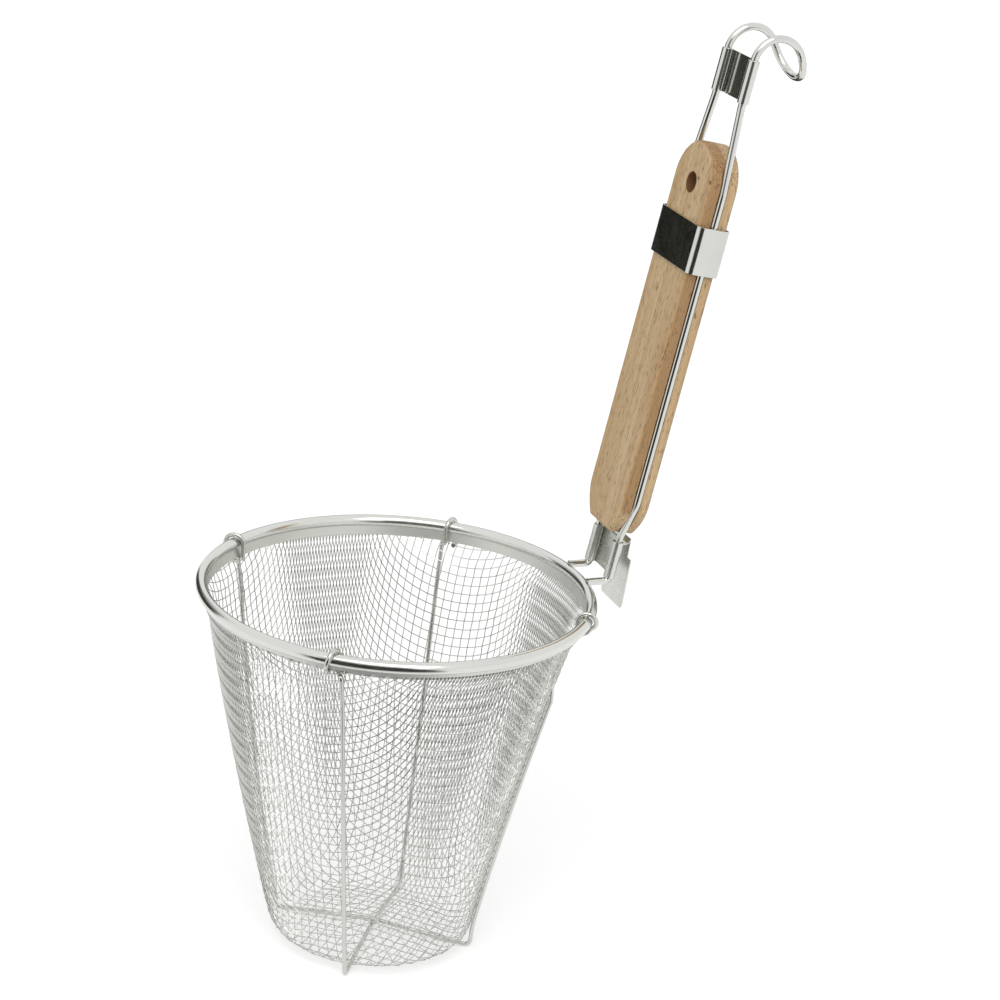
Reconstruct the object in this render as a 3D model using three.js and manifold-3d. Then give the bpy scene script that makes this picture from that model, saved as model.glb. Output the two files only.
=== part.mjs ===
// Mesh strainer with a wooden handle, in millimetres, +Z up, handle towards +X.
// A deep basket of woven wire hangs in a rolled rim, two crossed cradle wires carry it, and a hairpin of
// round wire runs from the rim through a pot hook, along both sides of a beech grip, to a hanging hook.
import * as THREE from 'three';
import { mergeVertices } from 'three/addons/utils/BufferGeometryUtils.js';
import Module from 'manifold-3d';

const wasm = await Module();
wasm.setup();

const degree = Math.PI / 180;

// Clearances
const seatGap = 0.3;
const netGap = 0.5;
const bandGap = 0.3;

// Rim: a strip rolled round a core wire, with two leaves that hold the edge of the net
const rimOuterDiameter = 160;
const rimHeight = 152.5;
const beadDiameter = 4;
const stripThickness = 0.4;
const innerLeafDrop = 6;
const outerLeafDrop = 3;

// Net: a square weave drawn into a cup, so that its wires keep their pitch and its openings shear
const netThickness = 1;
const strandWidth = 1;
const netPitch = 16.8;
const netBearing = 48 * degree;
const bottomRadius = 40.5;
const bottomCornerRadius = 8;

// Cradle wires
const cradleDiameter = 1.8;
const crossingRise = 2;
const footBendRadius = 2.6;
const wrapBendRadius = 1.6;
const wrapShift = 4.4;
const wrapTurn = 215 * degree;
const crossoverDrop = 11;
const frontEnd = { rim: -124.3 * degree, foot: -123.6 * degree };
const backEnd = { rim: 56.3 * degree, foot: 54.5 * degree };
const rightEnd = { rim: -37.5 * degree, foot: -33.5 * degree };
const leftEnd = { rim: 129.5 * degree, foot: 141.7 * degree };

// Handle wire
const handleTilt = 10.25 * degree;
const wireDiameter = 3;
const elbowReach = 6.4;
const elbowRise = 2.3;
const elbowRadius = 2;
const sleeveSpacing = 19.8;
const clipSpacing = 23.8;
const spreadRadius = 12;
const spreadLead = 1.5;
const hookRadius = 10.4;
const hookFlare = 33 * degree;

// Beech grip
const gripWidth = 33.6;
const gripThickness = 12.4;
const gripLength = 160.5;
const gripStart = 23.3;
const gripFootWidth = 19;
const gripTaper = 14;
const gripEdgeRadius = 1.5;
const wireSink = 0.2;
const hangHoleDiameter = 8;

// Sheet-metal fittings
const sheetThickness = 0.6;
const sleeveWall = 0.45;
const bracketStart = 4;
const bracketLength = 15.4;
const foldLead = 0.7;
const foldRadius = 2.5;
const neckWidth = 14;
const neckLength = 7.7;
const tabWidth = 21;
const tabLength = 21.3;
const tabTilt = 6 * degree;
const tabCornerRadius = 2;
const clipStart = 202.6;
const clipLength = 17;
const bandStart = 134.4;
const bandLength = 19;
const bandCornerRadius = 2.4;

// Facets
const rimSegments = 60;
const rollFacets = 8;
const coreSides = 6;
const cradleSides = 6;
const wireSides = 10;
const sleeveSides = 12;
const holeSides = 16;
const bendStep = 20 * degree;
const curveFacets = 6;

// Limits of the search for a knot of the net
const searchPasses = 40;
const longestBearingStep = 0.3;

// Sizes that follow from those above
const beadRadius = beadDiameter / 2;
const ringRadius = rimOuterDiameter / 2 - beadRadius;
const rollRadius = beadRadius - stripThickness;
const cradleRadius = cradleDiameter / 2;
const cornerHeight = cradleDiameter + seatGap + netThickness / 2;
const bottomRise = crossingRise + cradleDiameter + seatGap;
const bottomSlope = Math.atan2(bottomRise, bottomRadius);
const wallSlope = Math.atan2(ringRadius - bottomRadius, rimHeight - cornerHeight);
const wireRadius = wireDiameter / 2;
const gripSpacing = gripWidth - 2 * wireSink;
const sleeveRadius = wireRadius + seatGap + sleeveWall;
const elbowX = rimOuterDiameter / 2 + elbowReach;

// A curve through stations, sampled at the stations themselves
class StationCurve extends THREE.Curve {
  constructor(stations) {
    super();
    this.stations = stations;
  }

  getUtoTmapping(u) {
    return u;
  }

  getPoint(t, target = new THREE.Vector3()) {
    const place = t * (this.stations.length - 1);
    const index = Math.min(Math.floor(place), this.stations.length - 2);
    return target.lerpVectors(this.stations[index], this.stations[index + 1], place - index);
  }

  getTangent(t, target = new THREE.Vector3()) {
    const last = this.stations.length - 1;
    const index = Math.round(t * last);
    const here = this.stations[index];
    const arriving = here.clone().sub(this.stations[Math.max(index - 1, 0)]).normalize();
    const leaving = this.stations[Math.min(index + 1, last)].clone().sub(here).normalize();
    return target.copy(arriving.add(leaving)).normalize();
  }
}

// Solids and meshes
function toSolid(geometry) {
  const bare = geometry.clone();
  bare.deleteAttribute('normal');
  bare.deleteAttribute('uv');
  const merged = mergeVertices(bare);
  const vertProperties = Float32Array.from(merged.getAttribute('position').array);
  const triVerts = Uint32Array.from(merged.getIndex().array);
  return new wasm.Manifold(new wasm.Mesh({ numProp: 3, vertProperties, triVerts }));
}

function toGeometry(solid) {
  const { vertProperties, triVerts } = solid.getMesh();
  const geometry = new THREE.BufferGeometry();
  geometry.setAttribute('position', new THREE.BufferAttribute(vertProperties, 3));
  geometry.setIndex(new THREE.BufferAttribute(triVerts, 1));
  geometry.computeVertexNormals();
  return geometry;
}

function joined(geometries) {
  return geometries.map(toSolid).reduce((sum, solid) => sum.add(solid));
}

function cut(solid, cutters) {
  return cutters.map(toSolid).reduce((rest, cutter) => rest.subtract(cutter), solid);
}

// Round bar along stations
function roundBar(stations, diameter, sides) {
  const section = new THREE.Shape();
  for (let side = 0; side < sides; side += 1) {
    const angle = ((side + 0.5) * 2 * Math.PI) / sides;
    const corner = [(Math.cos(angle) * diameter) / 2, (Math.sin(angle) * diameter) / 2];
    if (side === 0) section.moveTo(...corner);
    else section.lineTo(...corner);
  }
  return new THREE.ExtrudeGeometry(section, {
    steps: stations.length - 1,
    bevelEnabled: false,
    extrudePath: new StationCurve(stations),
  });
}

// Stations along an arc that starts along xAxis and turns towards yAxis
function arcStations(centre, xAxis, yAxis, radius, from, to) {
  const count = Math.max(2, Math.ceil(Math.abs(to - from) / bendStep));
  const stations = [];
  for (let index = 0; index <= count; index += 1) {
    const angle = from + ((to - from) * index) / count;
    const reach = xAxis.clone().multiplyScalar(radius * Math.cos(angle));
    reach.addScaledVector(yAxis, radius * Math.sin(angle));
    stations.push(reach.add(centre));
  }
  return stations;
}

// Stations along a route of corners [point, bend radius], with a bend at each inner corner
function bentRoute(corners) {
  const stations = [corners[0][0].clone()];
  for (let index = 1; index < corners.length - 1; index += 1) {
    const [corner, radius] = corners[index];
    const back = corners[index - 1][0].clone().sub(corner).normalize();
    const ahead = corners[index + 1][0].clone().sub(corner).normalize();
    const turn = Math.PI - back.angleTo(ahead);
    const bisector = back.clone().add(ahead).normalize();
    const centre = corner.clone().addScaledVector(bisector, radius / Math.cos(turn / 2));
    const xAxis = back.clone().addScaledVector(bisector, -back.dot(bisector)).normalize();
    const yAxis = bisector.clone().negate();
    stations.push(...arcStations(centre, xAxis, yAxis, radius, (Math.PI - turn) / 2, (Math.PI + turn) / 2));
  }
  stations.push(corners[corners.length - 1][0].clone());
  return stations;
}

// Ring about Z from a closed outline of [radius, height] points
function turned(outline) {
  const closed = [...outline, outline[0]];
  const geometry = new THREE.LatheGeometry(closed.map(([r, z]) => new THREE.Vector2(r, z)), rimSegments);
  return geometry.rotateX(Math.PI / 2);
}

// Point of the rim's section: out from the slant wall and up along it, from the centre of the bead
function rimPoint(out, up) {
  const r = ringRadius + out * Math.cos(wallSlope) + up * Math.sin(wallSlope);
  const z = rimHeight - out * Math.sin(wallSlope) + up * Math.cos(wallSlope);
  return [r, z];
}

function rimArc(radius, from, to, facets) {
  const points = [];
  for (let index = 0; index <= facets; index += 1) {
    const angle = from + ((to - from) * index) / facets;
    points.push(rimPoint(radius * Math.cos(angle), radius * Math.sin(angle)));
  }
  return points;
}

// Rim strip: an open roll, a short outer leaf and a long inner leaf, with the net's slot between the leaves
function rimStrip() {
  const slotOut = netThickness / 2 + netGap;
  const leafOut = slotOut + stripThickness;
  const beadStart = -Math.acos(leafOut / beadRadius);
  const rollStart = -Math.acos(slotOut / rollRadius);
  const outline = [
    rimPoint(leafOut, -outerLeafDrop),
    ...rimArc(beadRadius, beadStart, Math.PI - beadStart, rollFacets),
    rimPoint(-leafOut, -innerLeafDrop),
    rimPoint(-slotOut, -innerLeafDrop),
    ...rimArc(rollRadius, Math.PI - rollStart, rollStart, rollFacets),
    rimPoint(slotOut, -outerLeafDrop),
  ];
  return turned(outline);
}

function rimCore() {
  const outline = rimArc(rollRadius - seatGap, 0, 2 * Math.PI, coreSides).slice(0, -1);
  return turned(outline);
}

// Middle surface of the net: a shallow cone, a rounded corner and the slant wall, by distance from its pole
const cornerTurn = Math.PI / 2 - wallSlope + bottomSlope;
const cornerReach = bottomCornerRadius * Math.tan(cornerTurn / 2);
const bottomRun = Math.hypot(bottomRadius, bottomRise) - cornerReach;
const cornerRun = bottomCornerRadius * cornerTurn;
const poleHeight = cornerHeight + bottomRise;

function netProfile(run) {
  const turn = THREE.MathUtils.clamp((run - bottomRun) / bottomCornerRadius, 0, cornerTurn) - bottomSlope;
  const straight = Math.min(run, bottomRun);
  const wall = Math.max(run - bottomRun - cornerRun, 0);
  const arcX = bottomCornerRadius * (Math.sin(turn) + Math.sin(bottomSlope));
  const arcZ = bottomCornerRadius * (Math.cos(bottomSlope) - Math.cos(turn));
  const r = straight * Math.cos(bottomSlope) + arcX + wall * Math.sin(wallSlope);
  const z = poleHeight - straight * Math.sin(bottomSlope) + arcZ + wall * Math.cos(wallSlope);
  return { r, z, turn };
}

function netPlace(run, bearing) {
  const { r, z, turn } = netProfile(run);
  const point = new THREE.Vector3(r * Math.cos(bearing), r * Math.sin(bearing), z);
  const out = Math.sin(turn);
  const normal = new THREE.Vector3(out * Math.cos(bearing), out * Math.sin(bearing), -Math.cos(turn));
  return { run, bearing, point, normal };
}

// Fourth knot of an opening: on the surface, one pitch from each of its two neighbours
function nextKnot(first, second, behind) {
  let run = first.run + second.run - behind.run;
  let bearing = (first.bearing + second.bearing) / 2;
  const nudge = 1e-5;
  const misses = (place) => [first, second].map(({ point }) => place.point.distanceTo(point) - netPitch);
  for (let pass = 0; pass < searchPasses; pass += 1) {
    const [missA, missB] = misses(netPlace(run, bearing));
    const [runA, runB] = misses(netPlace(run + nudge, bearing));
    const [turnA, turnB] = misses(netPlace(run, bearing + nudge));
    const a = (runA - missA) / nudge;
    const b = (turnA - missA) / nudge;
    const c = (runB - missB) / nudge;
    const d = (turnB - missB) / nudge;
    const determinant = a * d - b * c;
    const runStep = (d * missA - b * missB) / determinant;
    const bearingStep = (a * missB - c * missA) / determinant;
    run -= THREE.MathUtils.clamp(runStep, -netPitch / 2, netPitch / 2);
    bearing -= THREE.MathUtils.clamp(bearingStep, -longestBearingStep, longestBearingStep);
  }
  return netPlace(run, bearing);
}

// Knots of the whole net: one quarter between two straight wires, turned four times about the axis
function netKnots(lastRun) {
  const straightCount = Math.ceil(lastRun / netPitch);
  const quarter = [];
  for (let i = 0; i <= straightCount; i += 1) {
    quarter.push([]);
    for (let j = 0; j <= straightCount; j += 1) {
      if (i === 0) quarter[i].push(netPlace(j * netPitch, Math.PI / 2));
      else if (j === 0) quarter[i].push(netPlace(i * netPitch, 0));
      else {
        const [first, second, behind] = [quarter[i][j - 1], quarter[i - 1][j], quarter[i - 1][j - 1]];
        const inside = first && second && Math.min(first.run, second.run) < lastRun;
        quarter[i].push(inside ? nextKnot(first, second, behind) : null);
      }
    }
  }
  const knots = new Map();
  for (let i = 0; i <= straightCount; i += 1) {
    for (let j = 0; j <= straightCount; j += 1) {
      const knot = quarter[i][j];
      for (let turns = 0; knot && turns < 4; turns += 1) {
        const [u, v] = [[i, j], [-j, i], [-i, -j], [j, -i]][turns];
        knots.set(`${u},${v}`, netPlace(knot.run, knot.bearing + netBearing + (turns * Math.PI) / 2));
      }
    }
  }
  return knots;
}

// Corners of the openings, each set in from its knot by half a strand along both sides of its opening
const openingCorners = [[0, 0], [1, 0], [1, 1], [0, 1]];

function openingCorner(knots, i, j, corner) {
  const at = (step) => {
    const [u, v] = openingCorners[(corner + step) % 4];
    return knots.get(`${i + u},${j + v}`);
  };
  const [knot, next, previous] = [at(0), at(1), at(3)];
  const ahead = next.point.clone().sub(knot.point).normalize();
  const back = previous.point.clone().sub(knot.point).normalize();
  const inset = strandWidth / 2 / ahead.clone().cross(back).length();
  const place = knot.point.clone().addScaledVector(ahead.add(back), inset);
  return { place, normal: knot.normal };
}

// Flat strands and knots of the net as quads, seen from inside the basket, then thickened
function netBody(knots) {
  const vertices = [];
  const indexOf = new Map();
  const cells = new Set();
  const has = (i, j) => knots.has(`${i},${j}`);
  for (const key of knots.keys()) {
    const [i, j] = key.split(',').map(Number);
    if (has(i + 1, j) && has(i + 1, j + 1) && has(i, j + 1)) cells.add(key);
  }
  const cellsAbout = [[0, 0], [-1, 0], [-1, -1], [0, -1]];
  const whole = (i, j) => cellsAbout.every(([u, v]) => cells.has(`${i + u},${j + v}`));
  const vertex = (i, j, corner) => {
    const key = `${i},${j},${corner}`;
    if (!indexOf.has(key)) {
      indexOf.set(key, vertices.length);
      vertices.push(openingCorner(knots, i, j, corner));
    }
    return indexOf.get(key);
  };
  const quads = [];
  for (const key of knots.keys()) {
    const [i, j] = key.split(',').map(Number);
    if (!whole(i, j)) continue;
    quads.push([vertex(i, j, 0), vertex(i - 1, j, 1), vertex(i - 1, j - 1, 2), vertex(i, j - 1, 3)]);
    if (whole(i + 1, j)) {
      quads.push([vertex(i, j - 1, 3), vertex(i, j - 1, 2), vertex(i, j, 1), vertex(i, j, 0)]);
    }
    if (whole(i, j + 1)) {
      quads.push([vertex(i - 1, j, 1), vertex(i, j, 0), vertex(i, j, 3), vertex(i - 1, j, 2)]);
    }
  }
  return thickened(vertices, quads);
}

function thickened(vertices, quads) {
  const position = [];
  for (const side of [-0.5, 0.5]) {
    for (const { place, normal } of vertices) {
      position.push(...place.clone().addScaledVector(normal, side * netThickness).toArray());
    }
  }
  const outer = vertices.length;
  const edges = new Set();
  for (const quad of quads) {
    quad.forEach((from, corner) => edges.add(`${from},${quad[(corner + 1) % 4]}`));
  }
  const triangles = [];
  for (const [a, b, c, d] of quads) {
    triangles.push(a, b, c, a, c, d);
    triangles.push(outer + a, outer + c, outer + b, outer + a, outer + d, outer + c);
  }
  for (const edge of edges) {
    const [from, to] = edge.split(',').map(Number);
    if (edges.has(`${to},${from}`)) continue;
    triangles.push(to, from, outer + from, to, outer + from, outer + to);
  }
  const geometry = new THREE.BufferGeometry();
  geometry.setAttribute('position', new THREE.Float32BufferAttribute(position, 3));
  geometry.setIndex(triangles);
  return geometry;
}

// Net, trimmed in the rim's slot under the core wire and pierced where the cradle wires pass through.
// Offcuts that this leaves loose fall away.
function netBasket() {
  const [, trimHeight] = rimPoint(0, -rollRadius);
  const wallRun = (trimHeight - cornerHeight) / Math.cos(wallSlope);
  const lastRun = bottomRun + cornerRun + wallRun + 2 * netPitch;
  const trim = new THREE.BoxGeometry(2 * rimOuterDiameter, 2 * rimOuterDiameter, 2 * trimHeight);
  const strands = toSolid(netBody(netKnots(lastRun))).intersect(toSolid(trim));
  const holes = [frontEnd, backEnd, rightEnd, leftEnd].map(crossoverHole);
  const bodies = cut(strands, holes).decompose();
  const net = bodies.reduce((kept, body) => (body.volume() > kept.volume() ? body : kept));
  return toGeometry(net);
}

// Cradle wire: up the outside of the net, through it below the rim, over the bead and down to a short tail.
// A wire that leans cuts across the round of the net, so it stands further out.
const uprightOut = netThickness / 2 + seatGap + cradleRadius;
const wrapRadius = beadRadius + seatGap + cradleRadius;
const crossoverUp = -innerLeafDrop - seatGap - cradleRadius;

function rimPlace(bearing, out, up, shift) {
  const [r, z] = rimPoint(out, up);
  const radial = new THREE.Vector3(Math.cos(bearing), Math.sin(bearing), 0);
  const along = new THREE.Vector3(-Math.sin(bearing), Math.cos(bearing), 0);
  return radial.multiplyScalar(r).addScaledVector(along, shift).setZ(z);
}

function runOut({ rim, foot }) {
  return uprightOut + ringRadius * (1 - Math.cos((rim - foot) / 2));
}

function crossoverHole(end) {
  const outside = rimPlace(end.rim, runOut(end), -crossoverDrop, 0);
  const inside = rimPlace(end.rim, -wrapRadius, crossoverUp, 0);
  return roundBar([outside, inside], cradleDiameter + 2 * seatGap, cradleSides);
}

function cradleEnd(end, crossing, shift) {
  const out = runOut(end);
  const footUp = (cradleRadius - rimHeight + out * Math.sin(wallSlope)) / Math.cos(wallSlope);
  const stations = bentRoute([
    [crossing, 0],
    [rimPlace(end.foot, out, footUp, 0), footBendRadius],
    [rimPlace(end.rim, out, -crossoverDrop, 0), wrapBendRadius],
    [rimPlace(end.rim, -wrapRadius, crossoverUp, 0), wrapBendRadius],
    [rimPlace(end.rim, -wrapRadius, 0, 0), 0],
  ]);
  const steps = Math.ceil(wrapTurn / bendStep);
  for (let index = 1; index <= steps; index += 1) {
    const angle = Math.PI - (wrapTurn * index) / steps;
    const [wrapOut, wrapUp] = [wrapRadius * Math.cos(angle), wrapRadius * Math.sin(angle)];
    stations.push(rimPlace(end.rim, wrapOut, wrapUp, (shift * index) / steps));
  }
  return stations;
}

function cradleWire(ends, crossingHeight, shift) {
  const crossing = new THREE.Vector3(0, 0, crossingHeight);
  const [first, second] = ends.map((end) => cradleEnd(end, crossing, shift));
  return roundBar([...first.reverse(), ...second.slice(1)], cradleDiameter, cradleSides);
}

// Handle wire in the handle's own frame: X out of the grip's face, Y across it, Z along it
function handleRoute() {
  const rimReach = Math.sqrt((rimOuterDiameter / 2) ** 2 - (sleeveSpacing / 2) ** 2);
  const rimEnd = rimReach + seatGap - elbowX - elbowRise * Math.sin(handleTilt);
  const spreadStart = bracketStart + bracketLength + spreadLead;
  const spreadEnd = gripStart + gripTaper;
  const gatherStart = gripStart + gripLength - gripWidth / 2;
  const hookStart = clipStart + clipLength;
  const [sleeveY, gripY, clipY] = [sleeveSpacing / 2, gripSpacing / 2, clipSpacing / 2];
  const side = bentRoute([
    [new THREE.Vector3(rimEnd * Math.cos(handleTilt), sleeveY, elbowRise + rimEnd * Math.sin(handleTilt)), 0],
    [new THREE.Vector3(0, sleeveY, elbowRise), elbowRadius],
    [new THREE.Vector3(0, sleeveY, spreadStart), spreadRadius],
    [new THREE.Vector3(0, gripY, spreadEnd), spreadRadius],
    [new THREE.Vector3(0, gripY, gatherStart), spreadRadius],
    [new THREE.Vector3(0, clipY, clipStart - spreadLead), spreadRadius],
    [new THREE.Vector3(0, clipY, hookStart), 0],
  ]);
  const bow = Math.PI - hookFlare;
  const outward = new THREE.Vector3(-1, 0, 0);
  const upward = new THREE.Vector3(0, 0, 1);
  const bowCentre = new THREE.Vector3(hookRadius, clipY, hookStart);
  side.push(...arcStations(bowCentre, outward, upward, hookRadius, 0, bow).slice(1));
  const across = new THREE.Vector3(0, 1, 0);
  const down = new THREE.Vector3(Math.sin(bow), 0, Math.cos(bow));
  const tipCentre = side[side.length - 1].clone().setY(0);
  const tip = arcStations(tipCentre, across, down, clipY, 0, Math.PI).slice(1, -1);
  const mirrored = side.map((station) => station.clone().setY(-station.y)).reverse();
  return [...side, ...tip, ...mirrored];
}

// Outline in the plane of the grip's face, extruded through its thickness
const faceBasis = new THREE.Matrix4().makeBasis(
  new THREE.Vector3(0, 1, 0),
  new THREE.Vector3(0, 0, 1),
  new THREE.Vector3(1, 0, 0),
);

function beechGrip() {
  const halfWidth = gripWidth / 2;
  const roundHeight = gripStart + gripLength - halfWidth;
  const outline = new THREE.Shape();
  outline.moveTo(-gripFootWidth / 2, gripStart);
  outline.lineTo(gripFootWidth / 2, gripStart);
  outline.quadraticCurveTo(halfWidth - wireSink, gripStart + gripTaper / 2, halfWidth, gripStart + gripTaper);
  outline.lineTo(halfWidth, roundHeight);
  outline.absarc(0, roundHeight, halfWidth, 0, Math.PI, false);
  outline.lineTo(-halfWidth, gripStart + gripTaper);
  outline.quadraticCurveTo(
    -halfWidth + wireSink,
    gripStart + gripTaper / 2,
    -gripFootWidth / 2,
    gripStart,
  );
  const slat = new THREE.ExtrudeGeometry(outline, {
    depth: gripThickness - 2 * gripEdgeRadius,
    bevelThickness: gripEdgeRadius,
    bevelSize: gripEdgeRadius,
    bevelOffset: -gripEdgeRadius,
    bevelSegments: 2,
    curveSegments: 2 * curveFacets,
  });
  slat.translate(0, 0, gripEdgeRadius - gripThickness / 2).applyMatrix4(faceBasis);
  const holeRadius = hangHoleDiameter / 2;
  const hole = new THREE.CylinderGeometry(holeRadius, holeRadius, 2 * gripThickness, holeSides);
  hole.rotateZ(Math.PI / 2).translate(0, 0, roundHeight);
  const grooves = roundBar(handleRoute(), wireDiameter + 2 * seatGap, wireSides);
  return toGeometry(cut(toSolid(slat), [hole, grooves]));
}

// Rounded rectangle in the plane across the handle
function roundedRectangle(outline, halfX, halfY, radius) {
  outline.moveTo(halfX, radius - halfY);
  outline.absarc(halfX - radius, halfY - radius, radius, 0, Math.PI / 2, false);
  outline.absarc(radius - halfX, halfY - radius, radius, Math.PI / 2, Math.PI, false);
  outline.absarc(radius - halfX, radius - halfY, radius, Math.PI, 1.5 * Math.PI, false);
  outline.absarc(halfX - radius, radius - halfY, radius, 1.5 * Math.PI, 2 * Math.PI, false);
  return outline;
}

function slidingBand() {
  const innerX = gripThickness / 2 + bandGap;
  const innerY = gripSpacing / 2 + wireRadius + bandGap;
  const [outerX, outerY] = [innerX + sheetThickness, innerY + sheetThickness];
  const ring = roundedRectangle(new THREE.Shape(), outerX, outerY, bandCornerRadius + sheetThickness);
  ring.holes.push(roundedRectangle(new THREE.Path(), innerX, innerY, bandCornerRadius));
  const options = { depth: bandLength, bevelEnabled: false, curveSegments: curveFacets / 2 };
  return new THREE.ExtrudeGeometry(ring, options).translate(0, 0, bandStart);
}

// Two sleeves and the web between them, rolled from one sheet
function sleevePair(spacing, start, length) {
  const height = start + length / 2;
  const across = [-spacing / 2, spacing / 2];
  const rod = (radius, reach) => (y) => {
    const bar = new THREE.CylinderGeometry(radius, radius, reach, sleeveSides);
    return bar.rotateX(Math.PI / 2).translate(0, y, height);
  };
  const web = new THREE.BoxGeometry(sheetThickness, spacing, length);
  web.translate(sleeveRadius - sheetThickness / 2, 0, height);
  const body = joined([...across.map(rod(sleeveRadius, length)), web]);
  return cut(body, across.map(rod(wireRadius + seatGap, 2 * length)));
}

function upperClip() {
  return toGeometry(sleevePair(clipSpacing, clipStart, clipLength));
}

// Pot hook: the web folds over above the sleeves and hangs down outside as a neck and a tab
function potHook() {
  const webX = sleeveRadius - sheetThickness / 2;
  const [foldX, foldZ] = [webX + foldRadius, bracketStart + bracketLength + foldLead];
  const hang = handleTilt - tabTilt;
  const bendOverlap = sheetThickness / 4;
  const fold = new THREE.Shape();
  fold.absarc(0, 0, foldRadius + sheetThickness / 2, hang, Math.PI, false);
  fold.absarc(0, 0, foldRadius - sheetThickness / 2, Math.PI, hang, true);
  const foldOptions = { depth: neckWidth, bevelEnabled: false, curveSegments: curveFacets };
  const bend = new THREE.ExtrudeGeometry(fold, foldOptions).translate(0, 0, -neckWidth / 2);
  bend.rotateX(Math.PI / 2).translate(foldX, 0, foldZ);
  const lead = new THREE.BoxGeometry(sheetThickness, neckWidth, foldLead + 2 * bendOverlap);
  lead.translate(webX, 0, foldZ - foldLead / 2);

  const [neck, tab] = [neckWidth / 2, tabWidth / 2];
  const hem = -neckLength - tabLength;
  const outline = new THREE.Shape();
  outline.moveTo(-neck, bendOverlap);
  outline.lineTo(-neck, -neckLength);
  outline.lineTo(-tab, -neckLength);
  const [cornerX, cornerY] = [tab - tabCornerRadius, hem + tabCornerRadius];
  outline.absarc(-cornerX, cornerY, tabCornerRadius, Math.PI, 1.5 * Math.PI, false);
  outline.absarc(cornerX, cornerY, tabCornerRadius, 1.5 * Math.PI, 2 * Math.PI, false);
  outline.lineTo(tab, -neckLength);
  outline.lineTo(neck, -neckLength);
  outline.lineTo(neck, bendOverlap);
  const plateOptions = { depth: sheetThickness, bevelEnabled: false, curveSegments: curveFacets / 2 };
  const plate = new THREE.ExtrudeGeometry(outline, plateOptions).translate(0, 0, -sheetThickness / 2);
  const hanging = new THREE.Matrix4().makeBasis(
    new THREE.Vector3(0, 1, 0),
    new THREE.Vector3(-Math.sin(hang), 0, Math.cos(hang)),
    new THREE.Vector3(Math.cos(hang), 0, Math.sin(hang)),
  );
  plate.applyMatrix4(hanging);
  plate.translate(foldX + foldRadius * Math.cos(hang), 0, foldZ + foldRadius * Math.sin(hang));
  const sleeves = sleevePair(sleeveSpacing, bracketStart, bracketLength);
  return toGeometry(sleeves.add(joined([lead, bend, plate])));
}

// Materials
const polishedSteel = { color: 0xc9ccce, roughness: 0.18, metalness: 1 };
const satinSteel = { color: 0xb9bcba, roughness: 0.38, metalness: 1 };
const beech = { color: 0xd2ac7c, roughness: 0.62, metalness: 0 };

function piece(name, geometry, finish) {
  const mesh = new THREE.Mesh(geometry, new THREE.MeshStandardMaterial(finish));
  mesh.name = name;
  return mesh;
}

const lowCrossing = cradleRadius + crossingRise;
const highCrossing = lowCrossing + cradleDiameter + seatGap;

const basket = new THREE.Group();
basket.add(
  piece('rim_band', rimStrip(), polishedSteel),
  piece('rim_core_wire', rimCore(), satinSteel),
  piece('mesh_basket', netBasket(), satinSteel),
  piece('cradle_wire_low', cradleWire([frontEnd, backEnd], lowCrossing, -wrapShift), satinSteel),
  piece('cradle_wire_high', cradleWire([rightEnd, leftEnd], highCrossing, wrapShift), satinSteel),
);

const handle = new THREE.Group();
handle.position.set(elbowX, 0, rimHeight);
handle.rotation.y = handleTilt;
handle.add(
  piece('handle_wire', roundBar(handleRoute(), wireDiameter, wireSides), polishedSteel),
  piece('wood_grip', beechGrip(), beech),
  piece('grip_band', slidingBand(), polishedSteel),
  piece('upper_clip', upperClip(), polishedSteel),
  piece('pot_hook', potHook(), satinSteel),
);

const strainer = new THREE.Group();
strainer.add(basket, handle);

// The origin lies under the middle of the whole strainer, at the height of its feet
const extent = new THREE.Box3().setFromObject(strainer, true);
strainer.position.set(-(extent.min.x + extent.max.x) / 2, 0, -extent.min.z);

export default strainer;
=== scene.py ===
"""Mesh strainer: the looks of the packed part, laid out as an add-on and run as a script."""

import math
from functools import partial

import bpy
from bpy.props import FloatProperty, FloatVectorProperty, IntProperty, PointerProperty
from mathutils import Matrix, Vector


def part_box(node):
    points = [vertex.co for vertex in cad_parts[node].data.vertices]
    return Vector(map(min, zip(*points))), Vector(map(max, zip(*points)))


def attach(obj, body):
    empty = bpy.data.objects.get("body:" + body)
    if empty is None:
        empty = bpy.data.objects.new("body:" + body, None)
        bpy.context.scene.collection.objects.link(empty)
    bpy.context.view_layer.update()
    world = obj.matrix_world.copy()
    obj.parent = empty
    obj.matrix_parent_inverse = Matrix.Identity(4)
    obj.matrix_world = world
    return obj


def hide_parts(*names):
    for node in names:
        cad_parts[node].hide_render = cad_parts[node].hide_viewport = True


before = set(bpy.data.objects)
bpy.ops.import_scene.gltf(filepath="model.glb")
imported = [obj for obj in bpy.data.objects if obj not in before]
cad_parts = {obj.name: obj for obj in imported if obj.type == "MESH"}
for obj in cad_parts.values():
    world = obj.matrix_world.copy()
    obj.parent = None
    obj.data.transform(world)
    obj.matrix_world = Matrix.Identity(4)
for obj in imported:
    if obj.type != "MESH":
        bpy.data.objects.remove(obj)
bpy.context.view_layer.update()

bl_info = {
    "name": "Mesh strainer",
    "version": (1, 0, 0),
    "blender": (4, 5, 0),
    "location": "3D View > Sidebar > Strainer",
    "description": "Models and finishes the pieces of a wire strainer over its packed frame",
    "category": "Object",
}

# The middle of the bead's ring, which the frame gives, and two directions
core_low, core_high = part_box("rim_core_wire")
rim_centre = (core_low + core_high) / 2
up = Vector((0, 0, 1))
across = Vector((0, 1, 0))

mm_per_m = 1000

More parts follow.
